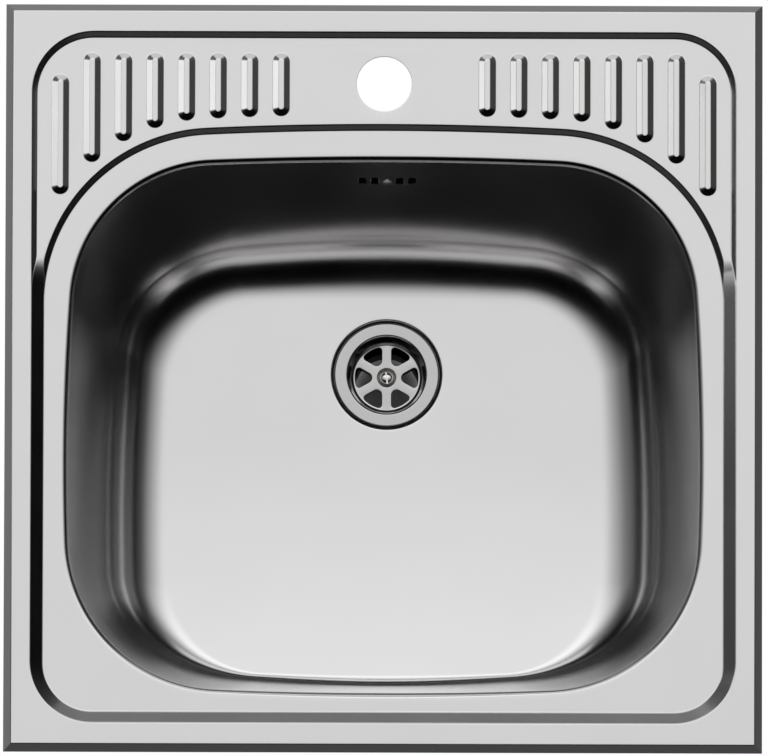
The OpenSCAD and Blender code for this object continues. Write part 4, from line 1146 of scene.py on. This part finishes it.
# %% Turn one rivet and set out eight
RIVET_R, RIVET_DOME, RIVET_SHANK = 5.0, 1.4, 3.0
RIVET_LOW, RIVET_HIGH = -10.7, -7.5
RIVET_OUT, RIVET_ALONG = 221, 110
dome = domed(RIVET_R, RIVET_DOME)[:-1]
section = [(r, RIVET_LOW + z) for r, z in dome]
section += [(RIVET_SHANK, RIVET_LOW), (RIVET_SHANK, RIVET_HIGH)]
section += [(r, RIVET_HIGH - z) for r, z in reversed(dome)]
rivet = Sheet()
revolve(rivet, (0, 0), section, 40)
places = []
for a, b in ((RIVET_OUT, RIVET_ALONG), (RIVET_ALONG, RIVET_OUT)):
    places += [(x * a, y * b, 0, 0) for x in (-1, 1) for y in (-1, 1)]
rivets = smooth(set_out("domed_rivets", as_object("rivet", rivet), places, zinc_plate), 30)
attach(rivets, "sink")
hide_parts("clip_rivets")
print("rivets:", len(places))

# %% [markdown]
# ## Where the overflow hose runs
# A corrugated hose of soft polyethylene runs from the overflow down behind the
# bowl and forward to the waste. It leaves both union nuts on a straight end,
# with one wide bend between. The route is the CAD model's, drawn as a section is:
# a straight, a bend and a straight, so its length is exact.

# %% The hose's route
HOSE_TOP, PORT = Vector((149.716, -59.975)), Vector((65.6, -180.4))
HOSE_BEND, HOSE_R, HOSE_RIBS, HOSE_PITCH = 64.0, 12.5, 31, 4.0
hose_down = HOSE_TOP.y - PORT.y - HOSE_BEND
hose_forward = HOSE_TOP.x - HOSE_BEND - PORT.x
hose_length = hose_down + hose_forward + HOSE_BEND * math.pi / 2
line = bent([(hose_down,), (HOSE_BEND, -90), (hose_forward,)], HOSE_TOP, heading=-90, chord=3)
route = [Vector((OUTLET_X, p.x, p.y)) * MM for p in line]
print("hose:", round(hose_length, 1), "mm by", len(route), "points")

# %% [markdown]
# ## Ribs that follow a route
# A corrugated hose could be a plain curve with a displaced surface. Here the
# radius is a wave along the route's length, so pitch, depth and plain ends are
# inputs, and the ribs follow any route. The power makes the crests broad and the
# valleys narrow, as on a blow-moulded hose.

# %% The tree for the hose
sizes = {"Valley": "Float", "Rib": "Float", "Pitch": "Float", "Count": "Float", "Start": "Float"}
hose_tree, inp = node_tree("ribbed hose", {**sizes, "Material": "Material"})
curve = add(hose_tree, "GeometryNodeMeshToCurve", {0: inp["Geometry"]})
chord_length = add(hose_tree, "ShaderNodeMath", {0: inp["Pitch"], 1: 0.125}, operation="MULTIPLY")
even = add(hose_tree, "GeometryNodeResampleCurve", {"Curve": curve, "Length": chord_length}, mode="LENGTH")
along = add(hose_tree, "GeometryNodeSplineParameter").outputs["Length"]
wave = add(hose_tree, "ShaderNodeMath", {0: along, 1: inp["Start"]}, operation="SUBTRACT")
for operation, value in (
    ("DIVIDE", inp["Pitch"]),
    ("MAXIMUM", 0.0),
    ("MINIMUM", inp["Count"]),
    ("MULTIPLY", 2 * math.pi),
    ("COSINE", 0.0),
):
    wave = add(hose_tree, "ShaderNodeMath", {0: wave, 1: value}, operation=operation)
wave = add(hose_tree, "ShaderNodeMapRange", {0: wave, 1: 1.0, 2: -1.0, 3: 0.0, 4: 1.0})
full = add(hose_tree, "ShaderNodeMath", {0: wave, 1: 0.6}, operation="POWER")
deep = add(hose_tree, "ShaderNodeMath", {0: full, 1: inp["Rib"]}, operation="MULTIPLY")
radius = add(hose_tree, "ShaderNodeMath", {0: deep, 1: inp["Valley"]}, operation="ADD")
round_line = add(hose_tree, "GeometryNodeCurvePrimitiveCircle", {"Resolution": 40, "Radius": 1.0})
tube = add(
    hose_tree, "GeometryNodeCurveToMesh",
    {"Curve": even, "Profile Curve": round_line, "Scale": radius},
)
finish_tree(hose_tree, tube, inp["Material"])

# %% [markdown]
# ## Moulded plastic, rubber, foam and pitch
# The hose and the moulded waste parts are black polyolefin with the fine
# texture of a spark-eroded mould, and the seals are rubber and foam. None is
# metal: each has a dark colour that varies softly over some millimetres, a
# gloss that varies with it, and grains of the size of its own texture as bump.
# They could share one black, but rubber is duller, and foam and pitch are rough.


# %% Materials of the soft and moulded parts
GLOSS_VARIES = 0.06


def moulded_material(name, colour, roughness, cloud_mm, cloud, grain_mm, grain):
    material, tree, place = new_material(name)
    clouds = add(tree, "ShaderNodeTexNoise", {"Vector": place, "Scale": 1000 / cloud_mm, "Detail": 3.0})
    speckle = add(tree, "ShaderNodeTexNoise", {"Vector": place, "Scale": 1000 / grain_mm, "Detail": 2.0})
    tone, rough = [
        add(tree, "ShaderNodeMapRange", {0: clouds, 1: CLOUD_LOW, 2: CLOUD_HIGH, 3: low, 4: high})
        for low, high in ((1 - cloud, 1 + cloud), (roughness - GLOSS_VARIES, roughness + GLOSS_VARIES))
    ]
    tint = add(tree, "ShaderNodeVectorMath", {0: linear(colour)[:3], 1: tone}, operation="MULTIPLY")
    bump = add(tree, "ShaderNodeBump", {"Height": speckle, "Distance": grain * MM})
    shader = add(tree, "ShaderNodeBsdfPrincipled", {"Base Color": tint, "Roughness": rough, "Normal": bump})
    add(tree, "ShaderNodeOutputMaterial", {"Surface": shader})
    return material


corrugated_polyethylene, polypropylene, rubber, foam, bitumen = [
    moulded_material(*finish)
    for finish in (
        # Name, colour, roughness, width and depth of the clouds, width and depth of the grain.
        ("black polyethylene of the hose", "#232325", 0.42, 20, 0.12, 0.6, 0.02),
        ("black moulded polypropylene", "#131314", 0.5, 14, 0.1, 0.5, 0.03),
        ("black nitrile rubber", "#191919", 0.7, 8, 0.15, 0.4, 0.03),
        ("closed-cell foam strip", "#2b2b2c", 0.92, 6, 0.2, 0.9, 0.25),
        ("bitumen damping pad", "#1c1b1a", 0.8, 10, 0.25, 1.6, 0.2),
    )
]
print("materials:", len(bpy.data.materials))

# %% [markdown]
# ## Galvanised steel and brass
# The rails and clips are dipped in zinc, whose crystals show as a spangle some
# millimetres across: neighbouring crystals differ in brightness and in gloss.
# Voronoi cells have that pattern. The threaded insert in the waste is turned
# from brass, with fine marks of the tool.


# %% Materials of the fixings
def spangled_material(name, dark, pale, cell_mm):
    material, tree, place = new_material(name)
    cells = add(tree, "ShaderNodeTexVoronoi", {"Vector": place, "Scale": 1000 / cell_mm})
    shade = add(tree, "ShaderNodeSeparateXYZ", {0: cells.outputs["Color"]})
    tint = add(tree, "ShaderNodeValToRGB", {"Fac": shade})
    for element, colour in zip(tint.color_ramp.elements, (dark, pale)):
        element.color = linear(colour)
    rough = add(tree, "ShaderNodeMapRange", {0: shade, 1: 0.0, 2: 1.0, 3: 0.5, 4: 0.32})
    shader = add(tree, "ShaderNodeBsdfPrincipled", {"Base Color": tint, "Metallic": 1.0, "Roughness": rough})
    add(tree, "ShaderNodeOutputMaterial", {"Surface": shader})
    return material


zinc_coat = spangled_material("galvanised steel with spangle", "#94989b", "#b7bbbd", 5)
turned_brass = metal_material("turned brass", "#c8a45a", 0.25, 3, 0.05, 0.3, 0.004, 6)
print("materials:", len(bpy.data.materials))

# %% [markdown]
# ## The hose itself
# The tree grows the ribs along the route, and Solidify gives the hose its wall
# of 1.2 mm on the inside. It is a cord by the rules of the frame: it has a real
# length and goes back into the object at its far end.

# %% Grow and finish the hose
RIB_DEPTH, HOSE_WALL = 1.5, 1.2
wire = bpy.data.meshes.new("hose_route")
wire.from_pydata(route, [(k, k + 1) for k in range(len(route) - 1)], [])
hose = grow(
    "corrugated_hose", wire, hose_tree,
    Valley=(HOSE_R - RIB_DEPTH) * MM, Rib=RIB_DEPTH * MM, Pitch=HOSE_PITCH * MM, Count=float(HOSE_RIBS),
    Start=(hose_length - HOSE_RIBS * HOSE_PITCH) / 2 * MM, Material=corrugated_polyethylene,
)
wall = hose.modifiers.new("wall", "SOLIDIFY")
wall.thickness, wall.offset = HOSE_WALL * MM, -1
smooth(settle(hose), 60)
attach(hose, "sink")
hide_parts("overflow_hose")
print("hose:", round(hose_length, 1), "mm,", len(hose.data.polygons), "faces")

# %% [markdown]
# ## Finishes of the CAD nodes
# The rails, brackets, jaws, seals, pad and waste parts have their true shape in
# the CAD model, so each keeps it and only gets its finish. Making them again
# would add nothing that shows.

# %% Give the CAD nodes their finishes
finishes = {
    zinc_coat: ["rail_left", "rail_right", "rail_front", "rail_back_left", "rail_back_right"]
    + [f"clip_{kind}_{k}" for kind in ("bracket", "jaw") for k in range(1, 9)],
    foam: ["rim_seal"],
    bitumen: ["sound_pad"],
    rubber: ["flange_seal", "bowl_gasket", "overflow_gasket"],
    polypropylene: ["waste_body", "overflow_housing", "hose_nut_top", "hose_nut_bottom"],
    turned_brass: ["screw_insert"],
}
for material, names in finishes.items():
    for name in names:
        for place in nodes[name].material_slots:
            place.material = material
print("nodes with a finish:", sum(len(names) for names in finishes.values()))

# %% [markdown]
# ## The studio
# Bare steel shows what is round it, so the light is designed as a surrounding,
# drawn by the world's shader. A direction has two angles: how far it leans to
# the side, and how far it tilts, from the front over the top to the back. A
# soft box hangs overhead, a little behind the sink, and is longer than it is
# wide: it makes the level deck pale, and leaves the bowl's walls dark. A weak
# glow low at the sides, the front and the back separates the bevels, and the
# room is pale below the table's edge. Each light is a ramp on one angle times a
# ramp on the other.

# %% Studio world
SOFT_BOX = (
    1.58,
    [(-75, 0.02), (-48, 0.2), (-28, 0.56), (-10, 1.0), (10, 1.0), (28, 0.5), (46, 0.08), (62, 0.0)],
    [(-12, 0.0), (9, 0.6), (24, 1.0), (42, 0.3), (62, 0.05), (80, 0.0)],
)
LOW_GLOW = (
    0.5,
    [(-90, 1.0), (-48, 0.8), (-12, 0.5), (8, 0.6), (28, 0.3), (48, 0.2), (90, 0.5)],
    [(-92, 0.6), (-82, 0.4), (-72, 0.03), (-60, 0.0), (62, 0.0), (76, 0.2), (84, 0.7), (100, 1.0)],
)
PALE_FROM, PALE_FULL, PALE = -0.2, -0.5, 0.8
world = bpy.data.worlds.new("studio")
bpy.context.scene.world = world
world.use_nodes = True
sky = world.node_tree
sky.nodes.clear()
direction = add(sky, "ShaderNodeTexCoord").outputs["Generated"]
along = add(sky, "ShaderNodeSeparateXYZ", {0: direction}).outputs
lean = add(sky, "ShaderNodeMath", {0: along["X"]}, operation="ARCSINE")
tilt = add(sky, "ShaderNodeMath", {0: along["Y"], 1: along["Z"]}, operation="ARCTAN2")
total = add(sky, "ShaderNodeMapRange", {0: along["Z"], 1: PALE_FROM, 2: PALE_FULL, 3: 0.0, 4: PALE})
for strength, across, over in (SOFT_BOX, LOW_GLOW):
    light = strength
    for angle, stops in ((lean, across), (tilt, over)):
        place = add(sky, "ShaderNodeMapRange", {0: angle, 1: -math.pi, 2: math.pi})
        ramp = add(sky, "ShaderNodeValToRGB", {"Fac": place})
        while len(ramp.color_ramp.elements) < len(stops):
            ramp.color_ramp.elements.new(1.0)
        for element, (degrees, share) in zip(ramp.color_ramp.elements, stops):
            element.position = 0.5 + degrees / 360
            element.color = (share, share, share, 1)
        light = add(sky, "ShaderNodeMath", {0: ramp, 1: light}, operation="MULTIPLY")
    total = add(sky, "ShaderNodeMath", {0: total, 1: light}, operation="ADD")
background = add(sky, "ShaderNodeBackground", {"Color": total, "Strength": 1.0})
add(sky, "ShaderNodeOutputWorld", {"Surface": background})
print("world:", len(sky.nodes), "nodes")

# %% [markdown]
# ## Two lit cards
# The ribs show a bright left flank and a bright back end, and are dark on the
# right, which no even light gives. A photographer adds such glints with small
# lit cards: one at the left, placed so that the ribs alone mirror it, and a wide
# one behind, which also lights the bowl's bends. Light linking keeps the left
# one off the bowl, as a black flag between them would.

# %% Lit cards
CARDS = [
    ("left_card", (-0.95, 0.38, 0.68), (0.3, 0.36), 0.42),
    ("back_card", (0.0, 1.25, 0.7), (1.6, 0.7), 2.6),
]
AIMED_AT = Vector((0, 0.1, 0))
cards = {}
for name, at, (wide, high), watts in CARDS:
    light = bpy.data.lights.new(name, "AREA")
    light.shape, light.size, light.size_y, light.energy = "RECTANGLE", wide, high, watts
    card = bpy.data.objects.new(name, light)
    card.location = at
    card.rotation_euler = (AIMED_AT - Vector(at)).to_track_quat("-Z", "Y").to_euler()
    card.visible_camera = False
    bpy.context.scene.collection.objects.link(card)
    cards[name] = card
lit_from_left = bpy.data.collections.new("lit_from_left")
lit_from_left.objects.link(sink_deck)
cards["left_card"].light_linking.receiver_collection = lit_from_left

# %% [markdown]
# ## The paper below
# The sink lies on a plain pale table. Seen by the camera, by glossy reflections
# and through glass it is plain white; the light that falls on it is that of the
# room, so a shadow still shows as the soft darkening near the sink. Right under
# the outlet it isn't made white, as no light gets there. It has one side only,
# so that a view from below shows the sink's underside through it.

# %% White backdrop paper
FLOOR_TOP, DARK_R, WHITE_R = -225.2, 34.0, 40.0
paper, tree, spot = new_material("white backdrop paper")
rays = add(tree, "ShaderNodeLightPath").outputs
seen = add(tree, "ShaderNodeMath", {0: rays["Is Camera Ray"], 1: rays["Is Glossy Ray"]}, operation="MAXIMUM")
seen = add(tree, "ShaderNodeMath", {0: seen, 1: rays["Is Transmission Ray"]}, operation="MAXIMUM")
under_outlet = tuple(Vector((WASTE.x, WASTE.y, FLOOR_TOP)) * MM)
reach = add(tree, "ShaderNodeVectorMath", {0: spot, 1: under_outlet}, operation="DISTANCE").outputs["Value"]
open_floor = add(tree, "ShaderNodeMapRange", {0: reach, 1: DARK_R * MM, 2: WHITE_R * MM})
seen = add(tree, "ShaderNodeMath", {0: seen, 1: open_floor}, operation="MULTIPLY")
matt = add(tree, "ShaderNodeBsdfDiffuse", {"Color": linear("#f2f2f0")})
white = add(tree, "ShaderNodeEmission", {"Color": (1, 1, 1, 1), "Strength": 1.0})
mixed = add(tree, "ShaderNodeMixShader", {"Fac": seen, 1: matt, 2: white})
from_below = add(tree, "ShaderNodeNewGeometry").outputs["Backfacing"]
clear = add(tree, "ShaderNodeBsdfTransparent")
one_sided = add(tree, "ShaderNodeMixShader", {"Fac": from_below, 1: mixed, 2: clear})
add(tree, "ShaderNodeOutputMaterial", {"Surface": one_sided})
print("paper:", len(tree.nodes), "nodes")

# %% [markdown]
# ## The floor
# The table is a round disc, wide enough to fill the picture. It lies just below
# the outlet, which is the sink's lowest point. It is stage, not a piece: the
# object is the sink alone.

# %% Pale floor
TABLE_R = 900
table = Sheet()
table.grid([level(ring((0, 0), r, 96), FLOOR_TOP) for r in (TABLE_R, TABLE_R / 2, 1)])
table.face(level(ring((0, 0), 1, 96), FLOOR_TOP))
mesh = bpy.data.meshes.new("table_top")
table.mesh.to_mesh(mesh)
floor = new_object("table_top", mesh)
mesh.materials.append(paper)
print("table:", 2 * TABLE_R, "mm across")

# %% [markdown]
# ## The view transform
# The Standard view shows each colour about as it is written, where a filmic one
# would grey the white paper.

# %% The view transform
bpy.context.scene.view_settings.view_transform = "Standard"
